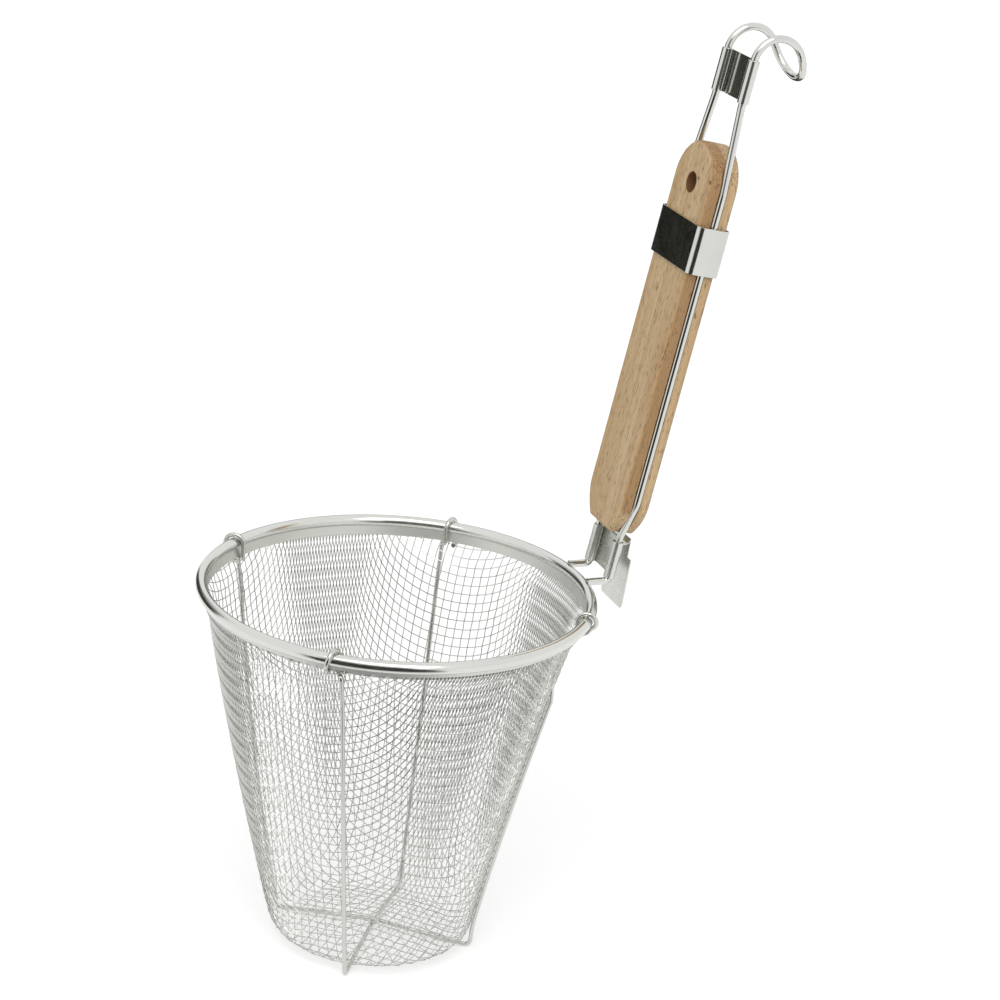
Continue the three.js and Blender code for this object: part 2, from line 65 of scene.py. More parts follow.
# Fineness of the models: what counts as one point, what is shaded smooth or rounded, and steps of bends
merge_distance = 1e-7
wire_smooth = math.radians(50)
sheet_smooth = math.radians(40)
slat_smooth = math.radians(30)
cut_smooth = math.radians(35)
edge_angle = math.radians(60)
cradle_step = math.radians(9)
handle_step = math.radians(8)


def millimetres(value):
    """A size in metres, from its millimetres."""
    return value / mm_per_m


def linear(hex_code):
    """An sRGB hex colour as linear red, green and blue."""
    channels = [int(hex_code[start:start + 2], 16) / 255 for start in (0, 2, 4)]
    return [c / 12.92 if c <= 0.04045 else ((c + 0.055) / 1.055) ** 2.4 for c in channels]


def length(label, description, size):
    """A property that holds a length, from its size in millimetres."""
    return FloatProperty(name=label, description=description, default=millimetres(size), unit="LENGTH")


def angle(label, description, degrees):
    """A property that holds an angle, from its size in degrees."""
    return FloatProperty(
        name=label, description=description, default=math.radians(degrees), subtype="ANGLE")


def count(label, description, number):
    """A property that holds a count."""
    return IntProperty(name=label, description=description, default=number, min=2)


def colour(label, description, hex_code):
    """A property that holds a colour, from its sRGB hex code."""
    return FloatVectorProperty(
        name=label, description=description, default=linear(hex_code), subtype="COLOR", min=0, max=1)


def group(label, kind):
    """A property that holds a group of others."""
    return PointerProperty(name=label, description=kind.__doc__.rstrip("."), type=kind)


class RimSizes(bpy.types.PropertyGroup):
    """Sizes of the rolled rim."""
    outer_diameter: length("Rim diameter", "Diameter over the bead", 160)
    bead_diameter: length("Bead", "Diameter of the rolled bead", 4.8)
    strip: length("Strip", "Thickness of the rolled strip", 0.4)
    slot: length("Slot", "Half of the room between the two leaves", 0.6)
    inner_leaf: length("Inner leaf", "Drop of the skirt inside the net", 6)
    outer_leaf: length("Outer leaf", "Drop of the lip outside the net", 3.8)
    steps: count("Steps", "Steps of the spin round the rim", 180)
    bead_steps: count("Bead steps", "Steps round the outside of the bead", 32)
    roll_steps: count("Roll steps", "Steps round the inside of the bead", 20)


class NetSizes(bpy.types.PropertyGroup):
    """Sizes of the woven net."""
    height: length("Height", "Height of the rim's middle over the ground that the net is drawn to", 152.5)
    pitch: length("Pitch", "Distance from wire to wire along the other wires", 3.8)
    wire: length("Wire", "Diameter of one wire of the weave", 0.42)
    bearing: angle("Bearing", "Bearing of the first straight wire", 48)
    bottom_radius: length("Bottom radius", "Radius where bottom and wall would meet", 40.5)
    corner_radius: length("Corner radius", "Radius between bottom and wall", 8)
    corner_height: length("Corner height", "Height where bottom and wall would meet", 2.6)
    bottom_rise: length("Bottom rise", "Rise of the bottom to its middle", 4.1)
    draw_radius: length("Draw radius", "Corner radius of the first draw, which shears the weave", 30)
    waist: length("Waist", "Depth by which the wall is drawn in below the rim", 1.8)
    waist_drop: length("Waist drop", "Distance below the bead where the wall is drawn in most", 13)
    bow: length("Bow", "Distance by which the wall bows to one side", 2.5)
    bow_bearing: angle("Bow bearing", "Bearing of the side that the wall bows to", 157.5)


class CradleSizes(bpy.types.PropertyGroup):
    """Sizes of the two cradle wires."""
    diameter: length("Cradle wire", "Diameter of a cradle wire", 1.8)
    seat: length("Seat", "Gap between a wire and what it rests on", 0.3)
    net_thickness: length("Net thickness", "Thickness of the weave that the wires lie against", 0.84)
    crossing_rise: length("Crossing rise", "Rise of the wires where they cross", 2)
    foot_bend: length("Foot bend", "Bend radius of a foot", 2.6)
    wrap_bend: length("Wrap bend", "Bend radius where a wire goes through the net", 1.2)
    wrap_shift: length("Wrap shift", "Shift of a wrap along the rim", 5.6)
    wrap_lead: length("Wrap lead", "Shift of a wrap's start along the rim", 1.8)
    wrap_turn: angle("Wrap turn", "Turn of a wrap round the bead", 225)
    run_points: count("Run points", "Points of a wire's run up the wall", 12)
    run_bend: length("Run bend", "Bend radius along a wire's run up the wall", 40)
    crossover_drop: length("Crossover drop", "Distance below the bead where a wire goes in", 6.8)
    right_crossover: length("Right crossover", "The same at the right end, where the net bulges out", 36)
    front_rim: angle("Front, rim", "Bearing of the front end at the rim", -124.3)
    front_foot: angle("Front, foot", "Bearing of the front foot", -123.6)
    back_rim: angle("Back, rim", "Bearing of the back end at the rim", 56.3)
    back_foot: angle("Back, foot", "Bearing of the back foot", 54.5)
    right_rim: angle("Right, rim", "Bearing of the right end at the rim", -37.5)
    right_foot: angle("Right, foot", "Bearing of the right foot", -33.5)
    left_rim: angle("Left, rim", "Bearing of the left end at the rim", 127.8)
    left_foot: angle("Left, foot", "Bearing of the left foot", 141.7)


class HandleSizes(bpy.types.PropertyGroup):
    """Sizes of the hairpin of wire."""
    tilt: angle("Tilt", "Lean of the handle away from the basket", 10.25)
    wire: length("Wire", "Diameter of the handle wire", 3)
    elbow_reach: length("Elbow reach", "Distance from the rim to the upright legs", 6.4)
    elbow_rise: length("Elbow rise", "Height of the elbow over the bead's middle", 2.3)
    weld_depth: length("Weld depth", "Depth of the wire's end in the bead", 2.2)
    elbow_radius: length("Elbow radius", "Bend radius of the elbow", 2)
    sleeve_spacing: length("Spacing in the bracket", "Distance between the legs in the pot hook", 19.8)
    clip_spacing: length("Spacing in the clip", "Distance between the legs in the upper clip", 23.8)
    spread_radius: length("Spread radius", "Bend radius where the legs spread", 12)
    spread_lead: length("Spread lead", "Straight length before the legs spread", 1.5)
    hook_radius: length("Hook radius", "Radius of the bow of the hanging hook", 10.4)
    hook_flare: angle("Hook flare", "Angle by which the bow falls short of a half turn", 33)


class GripSizes(bpy.types.PropertyGroup):
    """Sizes of the beech grip."""
    width: length("Width", "Width of the grip", 33.6)
    thickness: length("Thickness", "Thickness of the grip", 12.4)
    height: length("Length", "Length of the grip", 160.5)
    start: length("Start", "Distance from the elbow to the foot of the grip", 23.3)
    foot_width: length("Foot width", "Width of the foot of the grip", 19)
    taper: length("Taper", "Length over which the foot widens", 14)
    edge_radius: length("Edge radius", "Radius of the sanded edges", 1.8)
    wire_sink: length("Wire sink", "Depth of the wire's middle in the grip's side", 0.2)
    groove_gap: length("Groove gap", "Gap between the wire and its groove", 0.3)
    hole: length("Hole", "Diameter of the hanging hole", 8)
    flank_steps: count("Flank steps", "Steps along the widening foot", 12)
    dome_steps: count("Dome steps", "Steps round the top and round the hole", 48)


class FittingSizes(bpy.types.PropertyGroup):
    """Sizes of the sheet-metal fittings."""
    sheet: length("Sheet", "Thickness of the sheet", 0.6)
    sheet_edge: length("Sheet edge", "Rounding of the sheet's edges", 0.15)
    sleeve_wall: length("Sleeve wall", "Thickness of a rolled sleeve", 0.45)
    sleeve_edge: length("Sleeve edge", "Rounding of a sleeve's edges", 0.12)
    sleeve_seam: angle("Sleeve seam", "Angle by which a sleeve falls short of a full turn", 22)
    sleeve_steps: count("Sleeve steps", "Steps round a sleeve", 30)
    web_lead: length("Web lead", "Distance from a sleeve's middle to the flat of the web", 0.5)
    bracket_start: length("Bracket start", "Distance from the elbow to the pot hook", 4)
    bracket_length: length("Bracket length", "Length of the pot hook's sleeves", 15.4)
    fold_lead: length("Fold lead", "Length of the web between the sleeves and the fold", 0.7)
    fold_radius: length("Fold radius", "Radius of the fold of the pot hook", 2.5)
    neck_width: length("Neck width", "Width of the neck of the pot hook", 14)
    neck_length: length("Neck length", "Length of the neck of the pot hook", 7.7)
    tab_width: length("Tab width", "Width of the hanging tab", 21)
    tab_length: length("Tab length", "Length of the hanging tab", 21.3)
    tab_tilt: angle("Tab tilt", "Lean of the tab out of plumb", 6)
    tab_corner: length("Tab corner", "Corner radius of the tab", 2)
    clip_start: length("Clip start", "Distance from the elbow to the upper clip", 202.6)
    clip_length: length("Clip length", "Length of the upper clip", 17)
    band_start: length("Band start", "Distance from the elbow to the band", 134.4)
    band_length: length("Band length", "Width of the band along the grip", 19)
    band_corner: length("Band corner", "Inside corner radius of the band", 2.4)
    band_gap: length("Band gap", "Gap between the band and what it holds", 0.3)
    corner_steps: count("Corner steps", "Steps round a corner of the band", 8)
    fold_steps: count("Fold steps", "Steps round the fold of the pot hook", 14)
    tab_steps: count("Tab steps", "Steps round a corner of the tab", 6)


class FinishColours(bpy.types.PropertyGroup):
    """Colours of the finishes."""
    polished: colour("Polished steel", "Bright rolled and polished stainless steel", "DCDDD8")
    satin: colour("Satin steel", "Stainless sheet with its mill finish", "DCDDD7")
    drawn: colour("Drawn wire", "Bright drawn stainless wire", "D2D3CE")
    woven: colour("Woven wire", "Fine drawn wire of the weave", "D0D1CC")
    beech_light: colour("Beech, light", "Early wood", "D6BC94")
    beech_dark: colour("Beech, dark", "Late wood", "BF9B6D")
    beech_fleck: colour("Beech, flecks", "Rays cut across, seen as thin brown dashes", "6C4926")
    # The side's colour is partly the side grain's own tone and partly painted shade on the front half of the
    # side
    beech_side_grain_and_shade: colour("Beech, side", "The sawn side before the groove", "9E784C")
    # The hole's colour is painted shade on the drilled wall and round its edge; the pin knots are the wood's
    # own
    beech_knots_and_hole_shade: colour("Beech, hole", "The drilled wall of the hole, and the pin knots", "74502F")
    paper: colour("Paper", "White paper of the floor", "E1E1E1")
    light: colour("Light", "The white room and the floor's glow", "FFFFFF")
    card_black: colour("Card, black", "Black card where it is whole", "21211D")
    card_worn: colour("Card, worn", "Black card where it is rubbed", "615F59")


class StageSizes(bpy.types.PropertyGroup):
    """The floor, the light and the camera."""
    floor_size: length("Floor", "Side of the floor", 14000)
    floor_glow: FloatProperty(name="Floor glow", description="Glow of the floor in view", default=0.4)
    sun: FloatProperty(name="Key", description="Strength of the broad key light", default=1.5)
    sun_tilt: angle("Key tilt", "Turn of the key light about the X axis", 38)
    sun_roll: angle("Key roll", "Turn of the key light about the Y axis", -22)
    sun_breadth: angle("Key breadth", "Breadth of the key light in the sky", 50)
    fill: FloatProperty(name="Fill", description="Strength of the light from all round", default=0.55)
    camera_place: FloatVectorProperty(
        name="Camera", description="Place of the camera from the middle of the rim", subtype="XYZ",
        unit="LENGTH", default=(-0.3740, -1.0013, 0.4295))
    yaw: FloatProperty(name="Yaw", description="Turn to the left", default=-0.3928, subtype="ANGLE")
    pitch: FloatProperty(name="Pitch", description="Look down", default=0.3483, subtype="ANGLE")
    roll: FloatProperty(
        name="Roll", description="Turn about the line of sight", default=0.0869, subtype="ANGLE")
    lens: FloatProperty(name="Lens", description="Focal length in millimetres", default=104.14)
    sensor: FloatProperty(name="Sensor", description="Width of the sensor in millimetres", default=36)
    view_end: length("View end", "Distance past which nothing is seen", 50000)


class StrainerSettings(bpy.types.PropertyGroup):
    """All sizes and colours of the strainer."""
    rim: group("Rim", RimSizes)
    net: group("Net", NetSizes)
    cradle: group("Cradle wires", CradleSizes)
    handle: group("Handle wire", HandleSizes)
    grip: group("Grip", GripSizes)
    fittings: group("Fittings", FittingSizes)
    finish: group("Finish", FinishColours)
    stage: group("Stage", StageSizes)


def settings():
    """The strainer's sizes and colours."""
    return bpy.context.scene.strainer


# Modelling

def new_plane(name, size, **place):
    """A new square, which alone is selected."""
    bpy.ops.object.select_all(action="DESELECT")
    bpy.ops.mesh.primitive_plane_add(size=size, **place)
    piece = bpy.context.object
    piece.name = name
    return piece


def extrude_by(step):
    """Extrudes what is selected by a step."""
    bpy.ops.mesh.extrude_region_move(TRANSFORM_OT_translate={"value": step})


def outline(name, points):
    """A new piece that is an open line through points, in edit mode with all of it selected."""
    piece = new_plane(name, millimetres(1))
    bpy.ops.object.mode_set(mode="EDIT")
    bpy.ops.mesh.select_mode(type="VERT")
    bpy.ops.mesh.select_all(action="SELECT")
    bpy.ops.mesh.merge(type="CENTER")
    bpy.ops.transform.translate(value=points[0])
    for here, there in zip(points, points[1:]):
        extrude_by(there - here)
    bpy.ops.mesh.select_all(action="SELECT")
    return piece


def tidy_mesh(sharp_angle):
    """Leaves edit mode with doubles merged, faces outward and only the sharp edges sharp."""
    bpy.ops.mesh.select_all(action="SELECT")
    bpy.ops.mesh.remove_doubles(threshold=merge_distance)
    bpy.ops.mesh.normals_make_consistent(inside=False)
    bpy.ops.object.mode_set(mode="OBJECT")
    bpy.ops.object.shade_smooth_by_angle(angle=sharp_angle)


def apply_modifier(piece, kind, **options):
    """Adds a modifier with its options and applies it."""
    modifier = piece.modifiers.new(kind.title(), kind)
    for option, value in options.items():
        setattr(modifier, option, value)
    bpy.ops.object.modifier_apply(modifier=modifier.name)


def ease_edges(piece, width, segments, **options):
    """Rounds the sharp edges of a piece."""
    apply_modifier(
        piece, "BEVEL", width=width, segments=segments, limit_method="ANGLE", angle_limit=edge_angle,
        **options)


def heading(bearing):
    """The level direction at a bearing."""
    return Vector((math.cos(bearing), math.sin(bearing), 0))


def even_steps(first, last, steps):
    """Values from first to last in even steps."""
    return [first + (last - first) * index / steps for index in range(steps + 1)]


def arc_points(centre, x_axis, y_axis, radius, first, last, step):
    """Points on an arc that starts along x_axis and turns towards y_axis."""
    turns = even_steps(first, last, max(2, math.ceil(abs(last - first) / step)))
    return [
        centre + x_axis * (radius * math.cos(turn)) + y_axis * (radius * math.sin(turn)) for turn in turns
    ]


def bent_route(corners, step):
    """Points along a route of (corner, bend radius), with an arc at each inner corner."""
    points = [corners[0][0]]
    for (before, _), (corner, radius), (after, _) in zip(corners, corners[1:], corners[2:]):
        back = (before - corner).normalized()
        ahead = (after - corner).normalized()
        turn = math.pi - back.angle(ahead)
        bisector = (back + ahead).normalized()
        centre = corner + bisector * (radius / math.cos(turn / 2))
        side = (back - bisector * back.dot(bisector)).normalized()
        points += arc_points(
            centre, side, -bisector, radius, (math.pi - turn) / 2, (math.pi + turn) / 2, step)
    return points + [corners[-1][0]]


def round_wire(piece, diameter, resolution):
    """Turns a line of edges into round wire with closed ends."""
    bpy.ops.object.mode_set(mode="OBJECT")
    bpy.ops.object.convert(target="CURVE")
    piece.data.bevel_depth = diameter / 2
    piece.data.bevel_resolution = resolution
    piece.data.use_fill_caps = True
    bpy.ops.object.convert(target="MESH")
    bpy.ops.object.mode_set(mode="EDIT")
    tidy_mesh(wire_smooth)


def wire_along(name, points, diameter, resolution):
    """A new round wire along points."""
    piece = outline(name, points)
    round_wire(piece, diameter, resolution)
    return piece


def finish_piece(piece, body, node, material):
    """Puts a finished piece on its body, in the place of its node, with its finish."""
    piece.data.materials.clear()
    piece.data.materials.append(material)
    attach(piece, body)
    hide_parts(node)


# Materials

def add_node(tree, kind, **values):
    """Adds a shader node. Names in small letters are its options. The others are its inputs, by name or by
    number, and take a value, a socket, or a node, of which the first output in use is linked."""
    node = tree.nodes.new(f"ShaderNode{kind}")
    for name, value in values.items():
        if name[0].islower():
            setattr(node, name, value)
            continue
        socket = node.inputs[int(name[1:])] if name[0] == "_" else node.inputs[name.replace("_", " ")]
        if isinstance(value, bpy.types.Node):
            value = next(output for output in value.outputs if output.enabled)
        if isinstance(value, bpy.types.NodeSocket):
            tree.links.new(value, socket)
        else:
            socket.default_value = value
    return node


def bare_material(name):
    """A material without nodes, and the call that adds one to it."""
    material = bpy.data.materials.new(name)
    material.use_nodes = True
    material.node_tree.nodes.clear()
    return material, partial(add_node, material.node_tree)


def own_place(add):
    """The piece's own coordinates, in millimetres."""
    return add("VectorMath", operation="SCALE", _0=add("TexCoord").outputs["Object"], Scale=mm_per_m)


def features(*sizes):
    """The scale of a pattern whose features have these sizes in millimetres along the axes."""
    return [1 / size for size in sizes]


def shade_of(rgb, factor=1.0):
    """A colour made lighter or darker, with full alpha."""
    return (*[channel * factor for channel in rgb], 1.0)


def metal(name, rgb, rough, grain_mm, bump, tint, wave_mm=0.0):
    """Bare stainless steel: a mottled gloss, fine marks that break up the reflections, and slow waves."""
    material, add = bare_material(name)
    place = own_place(add)
    grain = add("TexNoise", Vector=place, Scale=1 / grain_mm, Detail=4.0)
    # Smears and stains some 17 mm across
    marks_mm = 16.667
    marks = add("TexNoise", Vector=place, Scale=1 / marks_mm, Detail=2.0)
    gloss = add("MapRange", Value=grain, From_Min=0.3, From_Max=0.7, To_Min=rough[0], To_Max=rough[1])
    stain = add("Mix", data_type="RGBA", Factor=marks, _6=shade_of(rgb), _7=shade_of(rgb, tint))
    waves = add("Bump", Height=marks, Strength=1.0, Distance=millimetres(wave_mm))
    relief = add("Bump", Height=grain, Strength=bump, Distance=millimetres(0.05), Normal=waves)
    shader = add("BsdfPrincipled", Metallic=1.0, Base_Color=stain, Roughness=gloss, Normal=relief)
    add("OutputMaterial", Surface=shader)
    return material


def polished_steel():
    """Rolled and polished stainless steel: it mirrors the white room, with soft smears from handling."""
    rgb = settings().finish.polished
    return metal("polished_stainless_steel", rgb, rough=(0.06, 0.13), grain_mm=0.9, bump=0.02, tint=0.85)


def polished_strip():
    """Polished stainless strip bent by hand: a mirror whose images waver a little."""
    rgb = settings().finish.polished
    return metal(
        "polished_stainless_strip", rgb, rough=(0.08, 0.16), grain_mm=0.9, bump=0.02, tint=0.72, wave_mm=0.35)


def rolled_steel():
    """Rolled stainless bead, half polished: soft gradients from white to dark along its round."""
    rgb = settings().finish.polished
    return metal("half_polished_stainless_steel", rgb, rough=(0.12, 0.2), grain_mm=1.2, bump=0.008, tint=0.92)


def satin_steel():
    """Stainless sheet with its mill finish: a dull grey gloss with faint cloudy marks."""
    rgb = settings().finish.satin
    return metal("mill_finish_stainless_sheet", rgb, rough=(0.24, 0.36), grain_mm=0.7, bump=0.012, tint=0.9)


def dull_steel():
    """The strip's rolled leaves, left as they came from the mill: a broad dull gloss without images."""
    rgb = settings().finish.satin
    return metal("dull_rolled_stainless_strip", rgb, rough=(0.36, 0.46), grain_mm=0.9, bump=0.012, tint=0.9)


def drawn_steel():
    """Bright drawn stainless wire: glossy, with fine marks from the die."""
    rgb = settings().finish.drawn
    return metal("bright_drawn_stainless_wire", rgb, rough=(0.14, 0.26), grain_mm=0.5, bump=0.06, tint=0.88)


def woven_steel():
    """Fine drawn wire of the weave: a darker gloss, as each wire is partly in its neighbours' shade."""
    rgb = settings().finish.woven
    return metal("woven_stainless_wire", rgb, rough=(0.2, 0.32), grain_mm=0.6, bump=0.03, tint=0.88)


def round_spot(add, place, centre, inner, outer):
    """One within a circle on the slat's face, and zero outside a wider one, from sizes in millimetres."""
    flat = add("VectorMath", operation="MULTIPLY", _0=place, _1=(0, 1, 1))
    distance = add("VectorMath", operation="DISTANCE", _0=flat, _1=(0, *centre))
    return add("MapRange", Value=distance, From_Min=outer, From_Max=inner)


def beech():
    """Bare sanded beech: pale tan, straight grain, thin brown rays, painted shade on its browner side and in
    the hole.
    """
    finish, grip, tilt = settings().finish, settings().grip, settings().handle.tilt
    material, add = bare_material("sanded_beech")
    # The handle's own frame in millimetres: X out of the slat's back, Y across it, Z along it
    turned = Matrix.Rotation(-tilt, 3, "Y") @ (handle_place(0, 0, 0) * mm_per_m)
    local = add("Mapping", Vector=own_place(add), Rotation=(0, -tilt, 0), Location=-turned)
    # Grain lines 1.6 mm apart that wander slowly along the slat, over broad clouds
    lines = add("Mapping", Vector=local, Scale=features(1.111, 1.613, 55.56))
    grain = add("TexNoise", Vector=lines, Scale=1.0, Detail=5.0)
    broad = add("Mapping", Vector=local, Scale=features(5, 10, 125))
    cloud = add("TexNoise", Vector=broad, Scale=1.0, Detail=2.0)
    thin_cloud = add("Math", operation="MULTIPLY", _0=cloud, _1=0.4)
    mixed = add("Math", operation="MULTIPLY_ADD", _0=grain, _1=0.6, _2=thin_cloud)
    tones = add("MapRange", Value=mixed, From_Min=0.35, From_Max=0.65)
    # The cut side, by its distance from the middle line of the slat and of its round top
    half = grip.width / 2 * mm_per_m
    round_t = (grip.start + grip.height) * mm_per_m - half
    axes = add("SeparateXYZ", Vector=local).outputs
    above = add("Math", operation="SUBTRACT", _0=axes["Z"], _1=round_t)
    beyond = add("Math", operation="MAXIMUM", _0=above, _1=0.0)
    edge = add("VectorMath", operation="LENGTH", _0=add("CombineXYZ", X=axes["Y"], Y=beyond))
    side = add("MapRange", Value=edge, From_Min=half - 1.4, From_Max=half - 0.3)
    # The front half of the side is painted browner: partly the side grain's own tone, partly painted shade
    front = add("MapRange", Value=axes["X"], From_Min=0.5, From_Max=-1.5, To_Max=0.8)
    side_grain_and_shade = add("Math", operation="MULTIPLY", _0=side, _1=front)
    # Rays: dashes about 0.5 mm wide and 4 mm long
    dashes = add("Mapping", Vector=local, Scale=features(0.5263, 0.5263, 4))
    cells = add("TexNoise", Vector=dashes, Scale=1.0, Detail=1.0)
    fleck = add("MapRange", Value=cells, From_Min=0.61, From_Max=0.68, To_Max=0.75)
    # End grain round the top: the cut ends of the grain show as close brown streaks
    top_end = add("MapRange", Value=beyond, From_Min=0.0, From_Max=8.0)
    end_side = add("Math", operation="MULTIPLY", _0=side, _1=top_end)
    streaks = add("MapRange", Value=cells, From_Min=0.48, From_Max=0.62, To_Max=0.55)
    end_grain = add("Math", operation="MULTIPLY", _0=end_side, _1=streaks)
    browner = add("Math", operation="MAXIMUM", _0=fleck, _1=end_grain)
    # The hole's wall and a thin ring round it are painted dark brown as shade, and two pin knots lie beside
    # it
    hole = grip.hole / 2 * mm_per_m
    knots_and_hole_shade = round_spot(add, local, (0, round_t), hole + 0.1, hole + 0.5)
    for knot_place in ((-5.1, 169.8), (-15.0, 170.6)):
        knot = round_spot(add, local, knot_place, 0.3, 1.2)
        knots_and_hole_shade = add("Math", operation="MAXIMUM", _0=knots_and_hole_shade, _1=knot)
    layers = [
        (tones, finish.beech_dark), (side_grain_and_shade, finish.beech_side_grain_and_shade), (browner, finish.beech_fleck),
        (knots_and_hole_shade, finish.beech_knots_and_hole_shade),
    ]
    tan = shade_of(finish.beech_light)
    for cover, rgb in layers:
        tan = add("Mix", data_type="RGBA", Factor=cover, _6=tan, _7=shade_of(rgb))
    relief = add("Bump", Height=cells, Strength=0.15, Distance=millimetres(0.1))
    rough = add("MapRange", Value=grain, To_Min=0.5, To_Max=0.7)
    shader = add("BsdfPrincipled", Base_Color=tan, Roughness=rough, Normal=relief)
    add("OutputMaterial", Surface=shader)
    return material


# Rim

def ring_radius():
    """Radius of the ring through the middle of the bead."""
    rim = settings().rim
    return (rim.outer_diameter - rim.bead_diameter) / 2


def net_floor():
    """Height of the ground in the net's own sizes: the feet lie a little lower by the bend of the wire."""
    return rim_centre.z - settings().net.height


def wall_slope():
    """Slant of the basket's wall from upright."""
    net = settings().net
    return math.atan2(ring_radius() - net.bottom_radius, rim_centre.z - net_floor() - net.corner_height)


def rim_section(out, rise):
    """Radius and height of a point of the rim's section: out from the slant wall, and up along it."""
    slope = wall_slope()
    radius = ring_radius() + out * math.cos(slope) + rise * math.sin(slope)
    height = rim_centre.z - out * math.sin(slope) + rise * math.cos(slope)
    return radius, height


def rim_place(bearing, out, rise, shift=0):
    """A point of the rim's section at a bearing, shifted along the rim."""
    radius, height = rim_section(out, rise)
    place = heading(bearing) * radius + heading(bearing + math.pi / 2) * shift
    return Vector((rim_centre.x + place.x, rim_centre.y + place.y, height))


def settled(place):
    """Where a point of the basket really lies: its wall bows to one side, and is drawn in below the rim."""
    net, rim = settings().net, settings().rim
    drop = rim_centre.z - place.z - rim.inner_leaf
    depth = rim_centre.z - net_floor() - rim.inner_leaf
    share = min(max(drop / depth, 0), 1)
    neck = net.waist_drop - rim.inner_leaf
    ease = math.sin(min(max(drop / neck, 0), 1) * math.pi / 2)
    waist = net.waist * min(ease, (1 - share) * depth / (depth - neck))
    bow = net.bow * math.sqrt(4 * share * (1 - share))
    radial = Vector((place.x - rim_centre.x, place.y - rim_centre.y, 0)).normalized()
    return place - radial * waist + heading(net.bow_bearing) * bow


def rim_roll(radius, first, last, steps):
    """Points of the rolled bead in its section."""
    turns = even_steps(first, last, steps)
    return [rim_place(0, radius * math.cos(turn), radius * math.sin(turn)) for turn in turns]


def spun_ring(name, section):
    """A new ring: a closed section drawn at the handle's side and spun round the basket's axis."""
    piece = outline(name, section)
    bpy.ops.mesh.edge_face_add()
    bpy.ops.mesh.delete(type="ONLY_FACE")
    bpy.ops.mesh.select_all(action="SELECT")
    bpy.ops.mesh.spin(steps=settings().rim.steps, angle=2 * math.pi, center=rim_centre, axis=up)
    tidy_mesh(sheet_smooth)
    return piece


class STRAINER_OT_rim(bpy.types.Operator):
    """Draws the sections of the rolled bead and its two leaves, and spins them round the basket's mouth"""
    bl_idname = "strainer.rim"
    bl_label = "Rim"

    def execute(self, context):
        rim = settings().rim
        bead = rim.bead_diameter / 2
        roll = bead - rim.strip
        lip = rim.slot + rim.strip
        bead_start = -math.acos(lip / bead)
        roll_start = -math.acos(rim.slot / roll)
        rolled = spun_ring("rim_band_bead", [
            *rim_roll(bead, bead_start, math.pi - bead_start, rim.bead_steps),
            *rim_roll(roll, math.pi - roll_start, roll_start, rim.roll_steps),
        ])
        finish_piece(rolled, "strainer", "rim_band", rolled_steel())
        dull = dull_steel()
        for name, side, drop in (("inner", -1, rim.inner_leaf), ("outer", 1, rim.outer_leaf)):
            hem = rim.strip / 2 - drop
            leaf = spun_ring(f"rim_band_{name}_leaf", [
                rim_place(0, side * lip, bead * math.sin(bead_start)),
                rim_place(0, side * lip, hem),
                rim_place(0, side * (lip - rim.strip / 2), -drop),
                rim_place(0, side * rim.slot, hem),
                rim_place(0, side * rim.slot, roll * math.sin(roll_start)),
            ])
            finish_piece(leaf, "strainer", "rim_band", dull)
        return {"FINISHED"}


# Net

class Cup:
    """The middle surface of the net, with its own radius between bottom and wall."""

    def __init__(self, corner_radius):
        net = settings().net
        self.corner_radius = corner_radius
        self.slope = wall_slope()
        self.floor_slope = math.atan2(net.bottom_rise, net.bottom_radius)
        self.corner_turn = math.pi / 2 - self.slope + self.floor_slope
        self.reach = corner_radius * math.tan(self.corner_turn / 2)
        self.bottom_run = math.hypot(net.bottom_radius, net.bottom_rise) - self.reach
        self.wall_start = self.bottom_run + corner_radius * self.corner_turn
        self.pole = net_floor() + net.corner_height + net.bottom_rise

    def place(self, run, bearing):
        """A point of the cup and its outward normal, by distance from the pole and bearing."""
        radius = self.corner_radius
        turn = min(max((run - self.bottom_run) / radius, 0), self.corner_turn) - self.floor_slope
        straight = min(run, self.bottom_run)
        wall = max(run - self.wall_start, 0)
        arc_x = radius * (math.sin(turn) + math.sin(self.floor_slope))
        arc_z = radius * (math.cos(self.floor_slope) - math.cos(turn))
        r = straight * math.cos(self.floor_slope) + arc_x + wall * math.sin(self.slope)
        z = self.pole - straight * math.sin(self.floor_slope) + arc_z + wall * math.cos(self.slope)
        c, s = math.cos(bearing), math.sin(bearing)
        point = Vector((rim_centre.x + r * c, rim_centre.y + r * s, z))
        normal = Vector((math.sin(turn) * c, math.sin(turn) * s, -math.cos(turn)))
        return point, normal


